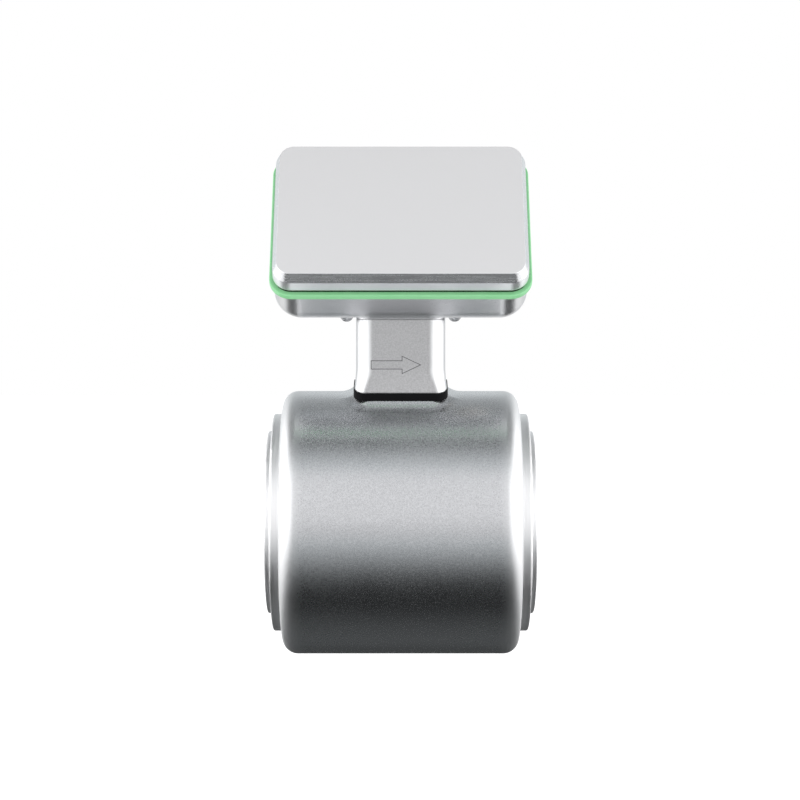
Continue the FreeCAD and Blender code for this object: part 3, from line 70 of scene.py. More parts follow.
class Graph:
    """A short way to add and link nodes in one node tree."""

    def __init__(self, tree: bpy.types.NodeTree) -> None:
        """Hold the tree.

        Args:
            tree: The node tree to write into.
        """
        self.tree = tree

    def add(self, kind: str, **settings: object) -> bpy.types.Node:
        """Add a node and set its plain properties.

        Args:
            kind: Blender's node type name.
            settings: Properties of the node.

        Returns:
            The new node.
        """
        node = self.tree.nodes.new(kind)
        for name, value in settings.items():
            setattr(node, name, value)
        return node

    def feed(self, node: bpy.types.Node, **inputs: object) -> bpy.types.Node:
        """Set or link inputs by name; an underscore stands for a space.

        Args:
            node: The node whose inputs are set.
            inputs: A value, or the output socket to link.

        Returns:
            The same node.
        """
        for name, value in inputs.items():
            self.put(node, name.replace("_", " "), value)
        return node

    def put(self, node: bpy.types.Node, key: str | int, value: object) -> None:
        """Set or link one input.

        Args:
            node: The node whose input is set.
            key: Name or number of the input.
            value: A value, or the output socket to link.
        """
        if isinstance(value, bpy.types.NodeSocket):
            self.tree.links.new(value, node.inputs[key])
        else:
            node.inputs[key].default_value = value

    def maths(self, operation: str, *values: object) -> bpy.types.NodeSocket:
        """Add a Math node.

        Args:
            operation: Name of the operation.
            values: Its inputs, in order.

        Returns:
            The result socket.
        """
        node = self.add("ShaderNodeMath", operation=operation)
        for index, value in enumerate(values):
            self.put(node, index, value)
        return node.outputs[0]

    def spread(self, value: object, low: float, high: float, to_low: float,
               to_high: float) -> bpy.types.NodeSocket:
        """Map a range smoothly to another.

        Args:
            value: The value to map.
            low: Start of the range.
            high: End of the range.
            to_low: Result at the start.
            to_high: Result at the end.

        Returns:
            The mapped value.
        """
        node = self.add("ShaderNodeMapRange", interpolation_type="SMOOTHSTEP")
        self.put(node, 0, value)
        for index, number in enumerate((low, high, to_low, to_high), start=1):
            self.put(node, index, number)
        return node.outputs[0]

    def blend(self, share: object, first: object, second: object) -> bpy.types.NodeSocket:
        """Mix two colours.

        Args:
            share: How much of the second is shown.
            first: The first colour or socket.
            second: The second colour or socket.

        Returns:
            The mixed colour.
        """
        node = self.add("ShaderNodeMix", data_type="RGBA")
        self.put(node, 0, share)
        self.put(node, 6, first)
        self.put(node, 7, second)
        return node.outputs[2]

    def place(self) -> bpy.types.NodeSocket:
        """Give the place on the object, in metres."""
        return self.add("ShaderNodeTexCoord").outputs["Object"]

    def edge(self, radius: float, samples: int = 4) -> bpy.types.NodeSocket:
        """Make a normal that rounds sharp edges.

        Args:
            radius: Radius of the rounding.
            samples: Rays used to find the edges.

        Returns:
            The rounded normal.
        """
        return self.feed(self.add("ShaderNodeBevel", samples=samples), Radius=radius).outputs[0]

    def relief(self, height: bpy.types.NodeSocket, depth: float,
               normal: bpy.types.NodeSocket | None = None) -> bpy.types.NodeSocket:
        """Make a normal that shows a fine relief.

        Args:
            height: The relief, from zero to one.
            depth: Its full depth.
            normal: The normal it is laid on, or nothing for the surface's own.

        Returns:
            The normal with the relief.
        """
        node = self.feed(self.add("ShaderNodeBump"), Height=height, Strength=1.0, Distance=depth)
        if normal is not None:
            self.put(node, "Normal", normal)
        return node.outputs[0]

    def show_front(self, shader: bpy.types.NodeSocket) -> None:
        """Lead a shader to the output and keep the side that looks away clear.

        Args:
            shader: What the front shows.
        """
        side = self.add("ShaderNodeMixShader")
        self.put(side, 0, self.add("ShaderNodeNewGeometry").outputs["Backfacing"])
        self.put(side, 1, shader)
        self.put(side, 2, self.add("ShaderNodeBsdfTransparent").outputs[0])
        self.feed(self.add("ShaderNodeOutputMaterial"), Surface=side.outputs[0])


def blank_graph(owner: bpy.types.Material | bpy.types.World) -> Graph:
    """Give a material or a world an empty node tree.

    Args:
        owner: The material or the world.

    Returns:
        The graph of its tree.
    """
    owner.use_nodes = True
    owner.node_tree.nodes.clear()
    return Graph(owner.node_tree)


def mesh_object(name: str, mesh: bmesh.types.BMesh) -> bpy.types.Object:
    """Turn a bmesh into an object in the scene, and free it.

    Args:
        name: Name of the object and of its mesh.
        mesh: The geometry.

    Returns:
        The new object.
    """
    data = bpy.data.meshes.new(name)
    mesh.to_mesh(data)
    mesh.free()
    thing = bpy.data.objects.new(name, data)
    bpy.context.scene.collection.objects.link(thing)
    return thing


# --------------------------------------------------------------------------- shared effects


class Effect(Enum):
    """Surface effects that several finishes share."""

    GRAIN = "fine_grain"
    STREAKS = "brushed_streaks"
    LATHE = "lathe_marks"
    CLOUDS = "handling_clouds"


class EffectLibrary:
    """Builds each shared effect once as a node group and hands it out."""

    lathe_pitch: float = 4.0 * MM

    def __init__(self) -> None:
        """Start with no group built."""
        self.groups: dict[Effect, bpy.types.NodeTree] = {}

    def get(self, effect: Effect) -> bpy.types.NodeTree:
        """Give the group of an effect, building it at the first call.

        Args:
            effect: The effect wanted.

        Returns:
            Its node group.
        """
        if effect not in self.groups:
            maker = {
                Effect.GRAIN: self._grain,
                Effect.STREAKS: self._streaks,
                Effect.LATHE: self._lathe,
                Effect.CLOUDS: self._clouds,
            }[effect]
            self.groups[effect] = maker(self._blank(effect))
        return self.groups[effect]

    @staticmethod
    def _blank(effect: Effect) -> bpy.types.NodeTree:
        """Make a group with the sockets that every effect has.

        Args:
            effect: The effect the group is for.

        Returns:
            The group, still without its inner nodes.
        """
        tree = bpy.data.node_groups.new(effect.value, "ShaderNodeTree")
        face = tree.interface
        scale = face.new_socket("Scale", in_out="INPUT", socket_type="NodeSocketVector")
        scale.default_value = (1000.0, 1000.0, 1000.0)
        low = face.new_socket("Low", in_out="INPUT", socket_type="NodeSocketFloat")
        low.default_value = 0.0
        high = face.new_socket("High", in_out="INPUT", socket_type="NodeSocketFloat")
        high.default_value = 1.0
        face.new_socket("Mask", in_out="OUTPUT", socket_type="NodeSocketFloat")
        face.new_socket("Value", in_out="OUTPUT", socket_type="NodeSocketFloat")
        return tree

    @staticmethod
    def _close(graph: Graph, start: bpy.types.Node, mask: bpy.types.NodeSocket) -> None:
        """Lead a mask, and the same mask between Low and High, to the outputs.

        Args:
            graph: The group's graph.
            start: The group's input node.
            mask: The mask socket.
        """
        end = graph.add("NodeGroupOutput")
        node = graph.add("ShaderNodeMapRange")
        graph.put(node, 0, mask)
        graph.put(node, 3, start.outputs["Low"])
        graph.put(node, 4, start.outputs["High"])
        graph.feed(end, Mask=mask, Value=node.outputs[0])

    @staticmethod
    def _scaled(graph: Graph, start: bpy.types.Node,
                place: bpy.types.NodeSocket) -> bpy.types.NodeSocket:
        """Multiply a place by the group's Scale.

        Args:
            graph: The group's graph.
            start: The group's input node.
            place: The place to scale.

        Returns:
            The scaled place.
        """
        node = graph.add("ShaderNodeVectorMath", operation="MULTIPLY")
        graph.put(node, 0, place)
        graph.put(node, 1, start.outputs["Scale"])
        return node.outputs[0]

    @staticmethod
    def _noise(graph: Graph, place: bpy.types.NodeSocket, detail: float, roughness: float,
               scale: float = 1.0, distortion: float = 0.0) -> bpy.types.NodeSocket:
        """Add a noise pattern.

        Args:
            graph: The group's graph.
            place: The scaled place.
            detail: How many finer layers it has.
            roughness: How strong the finer layers are.
            scale: Extra scale on the place.
            distortion: How far the pattern is warped.

        Returns:
            The noise, around one half.
        """
        return graph.feed(graph.add("ShaderNodeTexNoise"), Vector=place, Scale=scale,
                          Detail=detail, Roughness=roughness, Distortion=distortion).outputs[0]

    def _grain(self, tree: bpy.types.NodeTree) -> bpy.types.NodeTree:
        """Build the fine even grain that blasting leaves.

        Args:
            tree: The blank group.

        Returns:
            The finished group.
        """
        graph = Graph(tree)
        start = graph.add("NodeGroupInput")
        noise = self._noise(graph, self._scaled(graph, start, graph.place()), 3.0, 0.62)
        self._close(graph, start, graph.spread(noise, 0.25, 0.75, 0.0, 1.0))
        return tree

    def _streaks(self, tree: bpy.types.NodeTree) -> bpy.types.NodeTree:
        """Build long thin streaks; the scale is smallest along the brushing.

        Args:
            tree: The blank group.

        Returns:
            The finished group.
        """
        graph = Graph(tree)
        start = graph.add("NodeGroupInput")
        place = self._scaled(graph, start, graph.place())
        coarse = self._noise(graph, place, 2.0, 0.5, scale=0.35)
        fine = self._noise(graph, place, 2.0, 0.6)
        both = graph.maths("ADD", graph.maths("MULTIPLY", coarse, 0.45),
                           graph.maths("MULTIPLY", fine, 0.55))
        self._close(graph, start, graph.spread(both, 0.32, 0.68, 0.0, 1.0))
        return tree

    def _lathe(self, tree: bpy.types.NodeTree) -> bpy.types.NodeTree:
        """Build tool marks that run round the pipe axis, on rims and on faces alike.

        Args:
            tree: The blank group.

        Returns:
            The finished group.
        """
        graph = Graph(tree)
        start = graph.add("NodeGroupInput")
        along, y, z = graph.feed(graph.add("ShaderNodeSeparateXYZ"),
                                 Vector=graph.place()).outputs
        radius = graph.maths("SQRT", graph.maths("ADD", graph.maths("POWER", y, 2.0),
                                                 graph.maths("POWER", z, 2.0)))
        around = graph.maths("MULTIPLY", graph.maths("ARCTAN2", z, y), self.lathe_pitch)
        joined = graph.feed(graph.add("ShaderNodeCombineXYZ"), X=along, Y=radius, Z=around)
        noise = self._noise(graph, self._scaled(graph, start, joined.outputs[0]), 2.0, 0.5)
        self._close(graph, start, graph.spread(noise, 0.3, 0.7, 0.0, 1.0))
        return tree

    def _clouds(self, tree: bpy.types.NodeTree) -> bpy.types.NodeTree:
        """Build the broad soft patches that handling and cleaning leave.

        Args:
            tree: The blank group.

        Returns:
            The finished group.
        """
        graph = Graph(tree)
        start = graph.add("NodeGroupInput")
        noise = self._noise(graph, self._scaled(graph, start, graph.place()), 4.0, 0.5,
                            distortion=0.4)
        self._close(graph, start, graph.spread(noise, 0.35, 0.65, 0.0, 1.0))
        return tree


EFFECTS = EffectLibrary()


# --------------------------------------------------------------------------- finishes


@dataclass(frozen=True)
class Finish:
    """What every finish has: a name and a colour."""

    name: str
    colour: Colour

    def start(self) -> tuple[bpy.types.Material, Graph, bpy.types.Node]:
        """Make the material with one Principled shader.

        Returns:
            The material, its graph and the shader node.
        """
        material = bpy.data.materials.new(self.name)
        graph = blank_graph(material)
        shader = graph.add("ShaderNodeBsdfPrincipled")
        graph.feed(graph.add("ShaderNodeOutputMaterial"), Surface=shader.outputs[0])
        return material, graph, shader

    def effect(self, graph: Graph, effect: Effect, scale: float | tuple[float, float, float],
               low: float = 0.0, high: float = 1.0) -> bpy.types.Node:
        """Place a shared effect in the material.

        Args:
            graph: The material's graph.
            effect: Which effect.
            scale: Its scale in features per metre, one for all axes or one for each.
            low: The value where the mask is empty.
            high: The value where the mask is full.

        Returns:
            The group node, with outputs Mask and Value.
        """
        node = graph.add("ShaderNodeGroup", node_tree=EFFECTS.get(effect))
        scales = scale if isinstance(scale, tuple) else (scale, scale, scale)
        return graph.feed(node, Scale=scales, Low=low, High=high)

    def build(self) -> bpy.types.Material:
        """Make the material.

        Returns:
            The finished material.
        """
        raise NotImplementedError


@dataclass(frozen=True)
class BlastedSteel(Finish):
    """Bead-blasted steel: an even grain and a soft shine.

    Where side_to is set, the steel turns to its lighter side colour between side_from and side_to,
    measured across the pipe's middle: a painted highlight where the side lamps glare on the
    rounded sides and ends, while side_dulling adds real roughness there.  Below foot_high the two
    limits move out by up to foot_spread.
    """

    roughness: float = 0.36
    variation: float = 0.05
    cloud_rate: float = 18.0
    cloud_swing: float = 0.02
    grain_size: float = 0.35 * MM
    grain_depth: float = 0.010 * MM
    tone: float = 0.05
    edge_radius: float = 0.3 * MM
    side_from: float = 0.0
    side_to: float = 0.0
    # lighter colour of the sides: a painted highlight of the side lamps
    side_highlight_colour: Colour = (0.82, 0.825, 0.835)
    side_dulling: float = 0.0
    foot_spread: float = 0.0
    foot_low: float = 65.0 * MM
    foot_high: float = 76.0 * MM

    def build(self) -> bpy.types.Material:
        """Make the material.

        Returns:
            The finished material.
        """
        material, graph, shader = self.start()
        rate = 1.0 / self.grain_size
        grain = self.effect(graph, Effect.GRAIN, rate,
                            self.roughness - self.variation, self.roughness + self.variation)
        clouds = self.effect(graph, Effect.CLOUDS, self.cloud_rate, -self.cloud_swing,
                             self.cloud_swing)
        shade = graph.blend(grain.outputs["Mask"], toned(self.colour, 1.0 - self.tone),
                            toned(self.colour, 1.0 + self.tone))
        rough = graph.maths("ADD", grain.outputs["Value"], clouds.outputs["Value"])
        if self.side_to > 0.0:
            parts = graph.feed(graph.add("ShaderNodeSeparateXYZ"), Vector=graph.place())
            flare = graph.spread(parts.outputs[2], self.foot_low, self.foot_high,
                                 self.foot_spread, 0.0)
            across = graph.maths("SUBTRACT", graph.maths("ABSOLUTE", parts.outputs[0]), flare)
            # mask of the sides: it lightens the colour as a painted highlight and raises the real
            # roughness
            side_highlight_and_dulling = graph.spread(across, self.side_from, self.side_to, 0.0, 1.0)
            shade = graph.blend(side_highlight_and_dulling, shade, rgba(self.side_highlight_colour))
            rough = graph.maths("ADD", rough, graph.maths("MULTIPLY", side_highlight_and_dulling, self.side_dulling))
        normal = graph.relief(grain.outputs["Mask"], self.grain_depth,
                              graph.edge(self.edge_radius))
        graph.feed(shader, Base_Color=shade, Metallic=1.0, Roughness=rough, Normal=normal)
        return material


@dataclass(frozen=True)
class TurnedSteel(Finish):
    """Machined steel with tool marks round the pipe axis."""

    roughness: float = 0.26
    mark_size: float = 0.25 * MM
    mark_depth: float = 0.004 * MM
    mark_stretch: float = 5.0
    mark_tone: float = 0.93
    variation: float = 0.06
    cloud_rate: float = 25.0
    cloud_swing: float = 0.03
    edge_radius: float = 1.0 * MM

    def build(self) -> bpy.types.Material:
        """Make the material.

        Returns:
            The finished material.
        """
        material, graph, shader = self.start()
        rate = 1.0 / self.mark_size
        marks = self.effect(graph, Effect.LATHE, (rate, rate, rate / self.mark_stretch),
                            self.roughness - self.variation, self.roughness + self.variation)
        clouds = self.effect(graph, Effect.CLOUDS, self.cloud_rate, -self.cloud_swing,
                             self.cloud_swing)
        shade = graph.blend(marks.outputs["Mask"], toned(self.colour, self.mark_tone),
                            rgba(self.colour))
        rough = graph.maths("ADD", marks.outputs["Value"], clouds.outputs["Value"])
        normal = graph.relief(marks.outputs["Mask"], self.mark_depth,
                              graph.edge(self.edge_radius))
        graph.feed(shader, Base_Color=shade, Metallic=1.0, Roughness=rough, Normal=normal)
        return material


@dataclass(frozen=True)
class CoverSteel(Finish):
    """Satin face, streaked bevel and satin rim of the tilted front cover.

    The three are told apart by how far a face leans from the cover's own direction: face_leans and
    rim_leans hold the cosines between which each of them fades into the bevel.
    """

    bevel_colour: Colour = (0.80, 0.81, 0.83)
    rim_colour: Colour = (0.92, 0.93, 0.95)
    edge_radius: float = 0.5 * MM
    tilt: float = 55.0
    face_leans: tuple[float, float] = (0.72, 0.86)
    rim_leans: tuple[float, float] = (0.12, 0.26)
    roughness: float = 0.34
    bevel_roughness: float = 0.24
    face_metal: float = 0.1
    edge_metal: float = 0.90
    face_tone: float = 0.97
    streak_dark: float = 0.86
    streak_light: float = 1.1
    streak_rates: tuple[float, float, float] = (90.0, 5200.0, 5200.0)
    streak_swing: float = 0.07
    grain_rate: float = 3200.0
    grain_swing: float = 0.03
    cloud_rate: float = 14.0
    cloud_swing: float = 0.025
    relief_share: float = 0.4
    relief_depth: float = 0.006 * MM

    def build(self) -> bpy.types.Material:
        """Make the material.

        Returns:
            The finished material.
        """
        material, graph, shader = self.start()
        angle = math.radians(self.tilt)
        facing = graph.add("ShaderNodeVectorMath", operation="DOT_PRODUCT")
        graph.put(facing, 0, graph.add("ShaderNodeTexCoord").outputs["Normal"])
        graph.put(facing, 1, (0.0, -math.sin(angle), math.cos(angle)))
        lean = facing.outputs["Value"]
        face = graph.spread(lean, *self.face_leans, 0.0, 1.0)
        rim = graph.spread(lean, *self.rim_leans, 1.0, 0.0)
        bevel = graph.maths("SUBTRACT", 1.0, graph.maths("ADD", face, rim))
        streaks = self.effect(graph, Effect.STREAKS, self.streak_rates, -self.streak_swing,
                              self.streak_swing)
        fine = self.effect(graph, Effect.GRAIN, self.grain_rate, -self.grain_swing,
                           self.grain_swing)
        clouds = self.effect(graph, Effect.CLOUDS, self.cloud_rate, -self.cloud_swing,
                             self.cloud_swing)
        streaked = graph.blend(streaks.outputs["Mask"],
                               toned(self.bevel_colour, self.streak_dark),
                               toned(self.bevel_colour, self.streak_light))
        plain = graph.blend(fine.outputs["Mask"], toned(self.colour, self.face_tone),
                            rgba(self.colour))
        sides = graph.blend(rim, plain, rgba(self.rim_colour))
        shade = graph.blend(bevel, sides, streaked)
        level = graph.spread(bevel, 0.0, 1.0, self.roughness, self.bevel_roughness)
        grainy = graph.maths("ADD", clouds.outputs["Value"], fine.outputs["Value"])
        rough = graph.maths("ADD", level, graph.maths("ADD", grainy, graph.maths(
            "MULTIPLY", streaks.outputs["Value"], bevel)))
        metal = graph.spread(face, 0.0, 1.0, self.edge_metal, self.face_metal)
        height = graph.maths("MULTIPLY", graph.maths("ADD", fine.outputs["Mask"], graph.maths(
            "MULTIPLY", streaks.outputs["Mask"], bevel)), self.relief_share)
        normal = graph.relief(height, self.relief_depth, graph.edge(self.edge_radius, samples=8))
        graph.feed(shader, Base_Color=shade, Metallic=metal, Roughness=rough, Normal=normal)
        return material


@dataclass(frozen=True)
class PlainMetal(Finish):
    """Small plated or drawn metal parts with faint handling marks."""

    roughness: float = 0.3
    streak_axis: int = 2
    streak_rate: float = 2600.0
    streak_rate_along: float = 120.0
    smoother: float = 0.06
    rougher: float = 0.07
    streak_tone: float = 0.88
    streak_depth: float = 0.004 * MM

    def build(self) -> bpy.types.Material:
        """Make the material.

        Returns:
            The finished material.
        """
        material, graph, shader = self.start()
        rates = tuple(self.streak_rate_along if axis == self.streak_axis else self.streak_rate
                      for axis in range(3))
        streaks = self.effect(graph, Effect.STREAKS, rates, self.roughness - self.smoother,
                              self.roughness + self.rougher)
        shade = graph.blend(streaks.outputs["Mask"], toned(self.colour, self.streak_tone),
                            rgba(self.colour))
        graph.feed(shader, Base_Color=shade, Metallic=1.0, Roughness=streaks.outputs["Value"],
                   Normal=graph.relief(streaks.outputs["Mask"], self.streak_depth))
        return material


@dataclass(frozen=True)
class Moulded(Finish):
    """Moulded plastic or rubber with a fine texture."""

    roughness: float = 0.55
    grain_size: float = 0.4 * MM
    grain_depth: float = 0.008 * MM
    variation: float = 0.06
    cloud_rate: float = 40.0
    cloud_tone: float = 0.8
    shine: float = 0.5

    def build(self) -> bpy.types.Material:
        """Make the material.

        Returns:
            The finished material.
        """
        material, graph, shader = self.start()
        rate = 1.0 / self.grain_size
        grain = self.effect(graph, Effect.GRAIN, rate,
                            self.roughness - self.variation, self.roughness + self.variation)
        clouds = self.effect(graph, Effect.CLOUDS, self.cloud_rate)
        shade = graph.blend(clouds.outputs["Mask"], toned(self.colour, self.cloud_tone),
                            rgba(self.colour))
        graph.feed(shader, Base_Color=shade, Roughness=grain.outputs["Value"],
                   Specular_IOR_Level=self.shine,
                   Normal=graph.relief(grain.outputs["Mask"], self.grain_depth))
        return material


@dataclass(frozen=True)
class LitPlastic(Finish):
    """Translucent plastic lit from inside."""

    glow: Colour = (0.30, 0.72, 0.36)
    glow_strength: float = 0.7
    glow_paling: float = 0.18
    grain_rate: float = 2500.0
    grain_depth: float = 0.003 * MM
    cloud_rate: float = 55.0
    roughness: float = 0.35
    variation: float = 0.05

    def build(self) -> bpy.types.Material:
        """Make the material.

        Returns:
            The finished material.
        """
        material, graph, shader = self.start()
        clouds = self.effect(graph, Effect.CLOUDS, self.cloud_rate,
                             self.roughness - self.variation, self.roughness + self.variation)
        fine = self.effect(graph, Effect.GRAIN, self.grain_rate)
        pale = tuple(channel + (1.0 - channel) * self.glow_paling for channel in self.glow)
        light = graph.blend(clouds.outputs["Mask"], rgba(self.glow), rgba(pale))
        graph.feed(shader, Base_Color=rgba(self.colour), Roughness=clouds.outputs["Value"],
                   Emission_Color=light, Emission_Strength=self.glow_strength,
                   Normal=graph.relief(fine.outputs["Mask"], self.grain_depth))
        return material


@dataclass(frozen=True)
class CircuitBoard(Finish):
    """Solder mask over copper tracks."""

    track: Colour = (0.10, 0.38, 0.19)
    track_depth: float = 0.03 * MM
    cell_rate: float = 160.0
    cell_gap: float = 0.06
    cloud_rate: float = 90.0
    roughness: float = 0.32
    variation: float = 0.04

    def build(self) -> bpy.types.Material:
        """Make the material.

        Returns:
            The finished material.
        """
        material, graph, shader = self.start()
        cells = graph.feed(graph.add("ShaderNodeTexBrick", offset=0.5, squash=0.6),
                           Vector=graph.place(), Scale=self.cell_rate,
                           Mortar_Size=self.cell_gap)
        tracks = graph.spread(cells.outputs["Fac"], 0.4, 0.6, 0.0, 1.0)
        clouds = self.effect(graph, Effect.CLOUDS, self.cloud_rate,
                             self.roughness - self.variation, self.roughness + self.variation)
        shade = graph.blend(tracks, rgba(self.colour), rgba(self.track))
        graph.feed(shader, Base_Color=shade, Roughness=clouds.outputs["Value"],
                   Normal=graph.relief(tracks, self.track_depth))
        return material


@dataclass(frozen=True)
class WoundWire(Finish):
    """Enamelled wire laid turn by turn round a vertical core."""

    wire: float = 0.5 * MM
    wire_depth: float = 0.15 * MM
    # how dark the grooves between turns are painted: painted shade
    groove_shade: float = 0.45
    lacquered_metal: float = 0.7
    cloud_rate: float = 70.0
    roughness: float = 0.3
    variation: float = 0.05

    def build(self) -> bpy.types.Material:
        """Make the material.

        Returns:
            The finished material.
        """
        material, graph, shader = self.start()
        height = graph.feed(graph.add("ShaderNodeSeparateXYZ"),
                            Vector=graph.place()).outputs[2]
        turns = graph.maths("SINE", graph.maths("MULTIPLY", height, math.tau / self.wire))
        ridge = graph.spread(turns, -1.0, 1.0, 0.0, 1.0)
        clouds = self.effect(graph, Effect.CLOUDS, self.cloud_rate,
                             self.roughness - self.variation, self.roughness + self.variation)
        # painted shade: the grooves between turns are darkened where shade falls; the bump gives
        # the real relief
        shade = graph.blend(ridge, toned(self.colour, self.groove_shade), rgba(self.colour))
        graph.feed(shader, Base_Color=shade, Metallic=self.lacquered_metal,
                   Roughness=clouds.outputs["Value"],
                   Normal=graph.relief(ridge, self.wire_depth))
        return material


class Palette:
    """The finishes of the meter, each made once and shared by its parts."""

    # drum: lighter towards both ends, a painted highlight of the side lamps on the end fillets; the
    # extra roughness there is real
    drum = BlastedSteel("satin_drum_steel", (0.585, 0.59, 0.61), roughness=0.28,
                        grain_size=0.8 * MM, grain_depth=0.012 * MM, tone=0.10,
                        edge_radius=1.2 * MM, side_from=46.0 * MM, side_to=58.0 * MM,
                        side_dulling=0.22)
    # neck: lighter at its rounded vertical edges and flared foot, a painted highlight of the side
    # lamps
    neck = BlastedSteel("blasted_neck_steel", (0.44, 0.44, 0.45), roughness=0.38,
                        grain_size=0.7 * MM, grain_depth=0.02 * MM, tone=0.14,
                        edge_radius=0.8 * MM, side_from=13.4 * MM, side_to=15.4 * MM,
                        side_highlight_colour=(0.68, 0.685, 0.695), foot_spread=3.4 * MM)
    shell = BlastedSteel("satin_shell_steel", (0.76, 0.765, 0.775), roughness=0.32)
    cover = CoverSteel("front_cover_steel", (0.595, 0.595, 0.605))
    flange = TurnedSteel("turned_flange_steel", (0.88, 0.88, 0.89), roughness=0.45)
    ring = TurnedSteel("turned_ring_steel", (0.88, 0.88, 0.89), roughness=0.45)
    tube = TurnedSteel("drawn_tube_steel", (0.56, 0.56, 0.55), roughness=0.3)
    screw = PlainMetal("plain_screw_steel", (0.60, 0.60, 0.61), roughness=0.28)
    iron = PlainMetal("machined_iron", (0.26, 0.26, 0.27), roughness=0.42)
    nickel = PlainMetal("nickel_plate", (0.66, 0.64, 0.60), roughness=0.22)
    gold = PlainMetal("gold_plate", (0.80, 0.58, 0.24), roughness=0.18)
    rubber = Moulded("gasket_rubber", (0.004, 0.004, 0.005), roughness=0.45, shine=0.06)
    liner = Moulded("liner_plastic", (0.80, 0.79, 0.74), roughness=0.38)
    black = Moulded("black_moulding", (0.03, 0.03, 0.032), roughness=0.42)
    chips = Moulded("component_moulding", (0.05, 0.05, 0.055), roughness=0.5)
    guide = LitPlastic("lit_green_guide", (0.18, 0.46, 0.22), glow_strength=0.16)
    lamps = LitPlastic("clear_lamp", (0.85, 0.95, 0.86), glow=(0.55, 0.95, 0.6))
    board = CircuitBoard("green_circuit_board", (0.03, 0.17, 0.08))
    wire = WoundWire("enamelled_wire", (0.66, 0.30, 0.12))
    mark = Moulded("etched_mark", (0.12, 0.12, 0.125), roughness=0.6, shine=0.2)

    def __init__(self) -> None:
        """Start with no material built."""
        self.made: dict[str, bpy.types.Material] = {}

    def material(self, finish: Finish) -> bpy.types.Material:
        """Give a finish's material, building it at the first call.

        Args:
            finish: One of the palette's finishes.

        Returns:
            Its material.
        """
        if finish.name not in self.made:
            self.made[finish.name] = finish.build()
        return self.made[finish.name]

    def dress(self, thing: bpy.types.Object, finish: Finish) -> None:
        """Give an object one finish all over.

        Args:
            thing: The object.
            finish: The finish it gets.
        """
        material = self.material(finish)
        if not thing.material_slots:
            thing.data.materials.append(material)
        for slot in thing.material_slots:
            slot.material = material


PALETTE = Palette()


# --------------------------------------------------------------------------- sub-assemblies


@dataclass
class Assembly:
    """A group of parts with their finishes and the fine pieces added to them."""

    title: str
    finishes: dict[str, Finish]

    def dress(self) -> None:
        """Give every part of the frame its finish."""
        for node, finish in self.finishes.items():
            PALETTE.dress(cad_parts[node], finish)
            LOG.info("%s: %s is %s", self.title, node, finish.name)

    def build(self) -> None:
        """Add the fine pieces; a plain assembly has none."""

    def keep(self, name: str, mesh: bmesh.types.BMesh, finish: Finish, slot: str,
             smooth: bool = False) -> bpy.types.Object:
        """Turn a bmesh into a piece that rides on the meter.

        Args:
            name: The piece's name.
            mesh: Its geometry, in place.
            finish: Its finish.
            slot: The record's material slot it belongs to; not used.
            smooth: Whether its faces are shaded smooth.

        Returns:
            The new object.
        """
        bmesh.ops.recalc_face_normals(mesh, faces=mesh.faces[:])
        for face in mesh.faces:
            face.smooth = smooth
        piece = mesh_object(name, mesh)
        PALETTE.dress(piece, finish)
        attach(piece, "root")
        LOG.info("%s: added %s, %d faces", self.title, name, len(piece.data.polygons))
        return piece


def both_ends(name: str) -> list[str]:
    """Names of a part at the inlet and at the outlet."""
    return [f"{name}_inlet", f"{name}_outlet"]


def finish_map(*groups: tuple[Finish, list[str]]) -> dict[str, Finish]:
    """Turn groups of node names into one table.

    Args:
        groups: Pairs of a finish and the nodes that have it.

    Returns:
        The finish of each node.
    """
    return {node: finish for finish, nodes in groups for node in nodes}


@dataclass
class FlowTube(Assembly):
    """Drum, flanges, rings, tube, liner and seals."""

    title: str = "flow tube"
    finishes: dict[str, Finish] = field(default_factory=lambda: finish_map(
        (Palette.drum, ["drum_shell"]),
        (Palette.flange, both_ends("end_flange")),
        (Palette.ring, both_ends("earthing_ring")),
        (Palette.screw, both_ends("ring_screws")),
        (Palette.rubber, both_ends("process_seal")),
        (Palette.tube, ["measuring_tube"]),
        (Palette.liner, ["liner"]),
    ))


@dataclass
class MeasuringParts(Assembly):
    """Electrodes, coils and their iron, inside the drum."""

    title: str = "measuring parts"
    finishes: dict[str, Finish] = field(default_factory=lambda: finish_map(
        (Palette.ring, ["electrode_front", "electrode_rear"]),
        (Palette.screw, ["electrode_nut_front", "electrode_nut_rear",
                         "electrode_washer_front", "electrode_washer_rear",
                         "core_screw_upper", "core_screw_lower"]),
        (Palette.black, ["electrode_insulator_front", "electrode_insulator_rear",
                         "coil_former_upper", "coil_former_lower"]),
        (Palette.wire, ["coil_winding_upper", "coil_winding_lower"]),
        (Palette.iron, ["pole_piece_upper", "pole_piece_lower", "yoke_front", "yoke_rear"]),
    ))


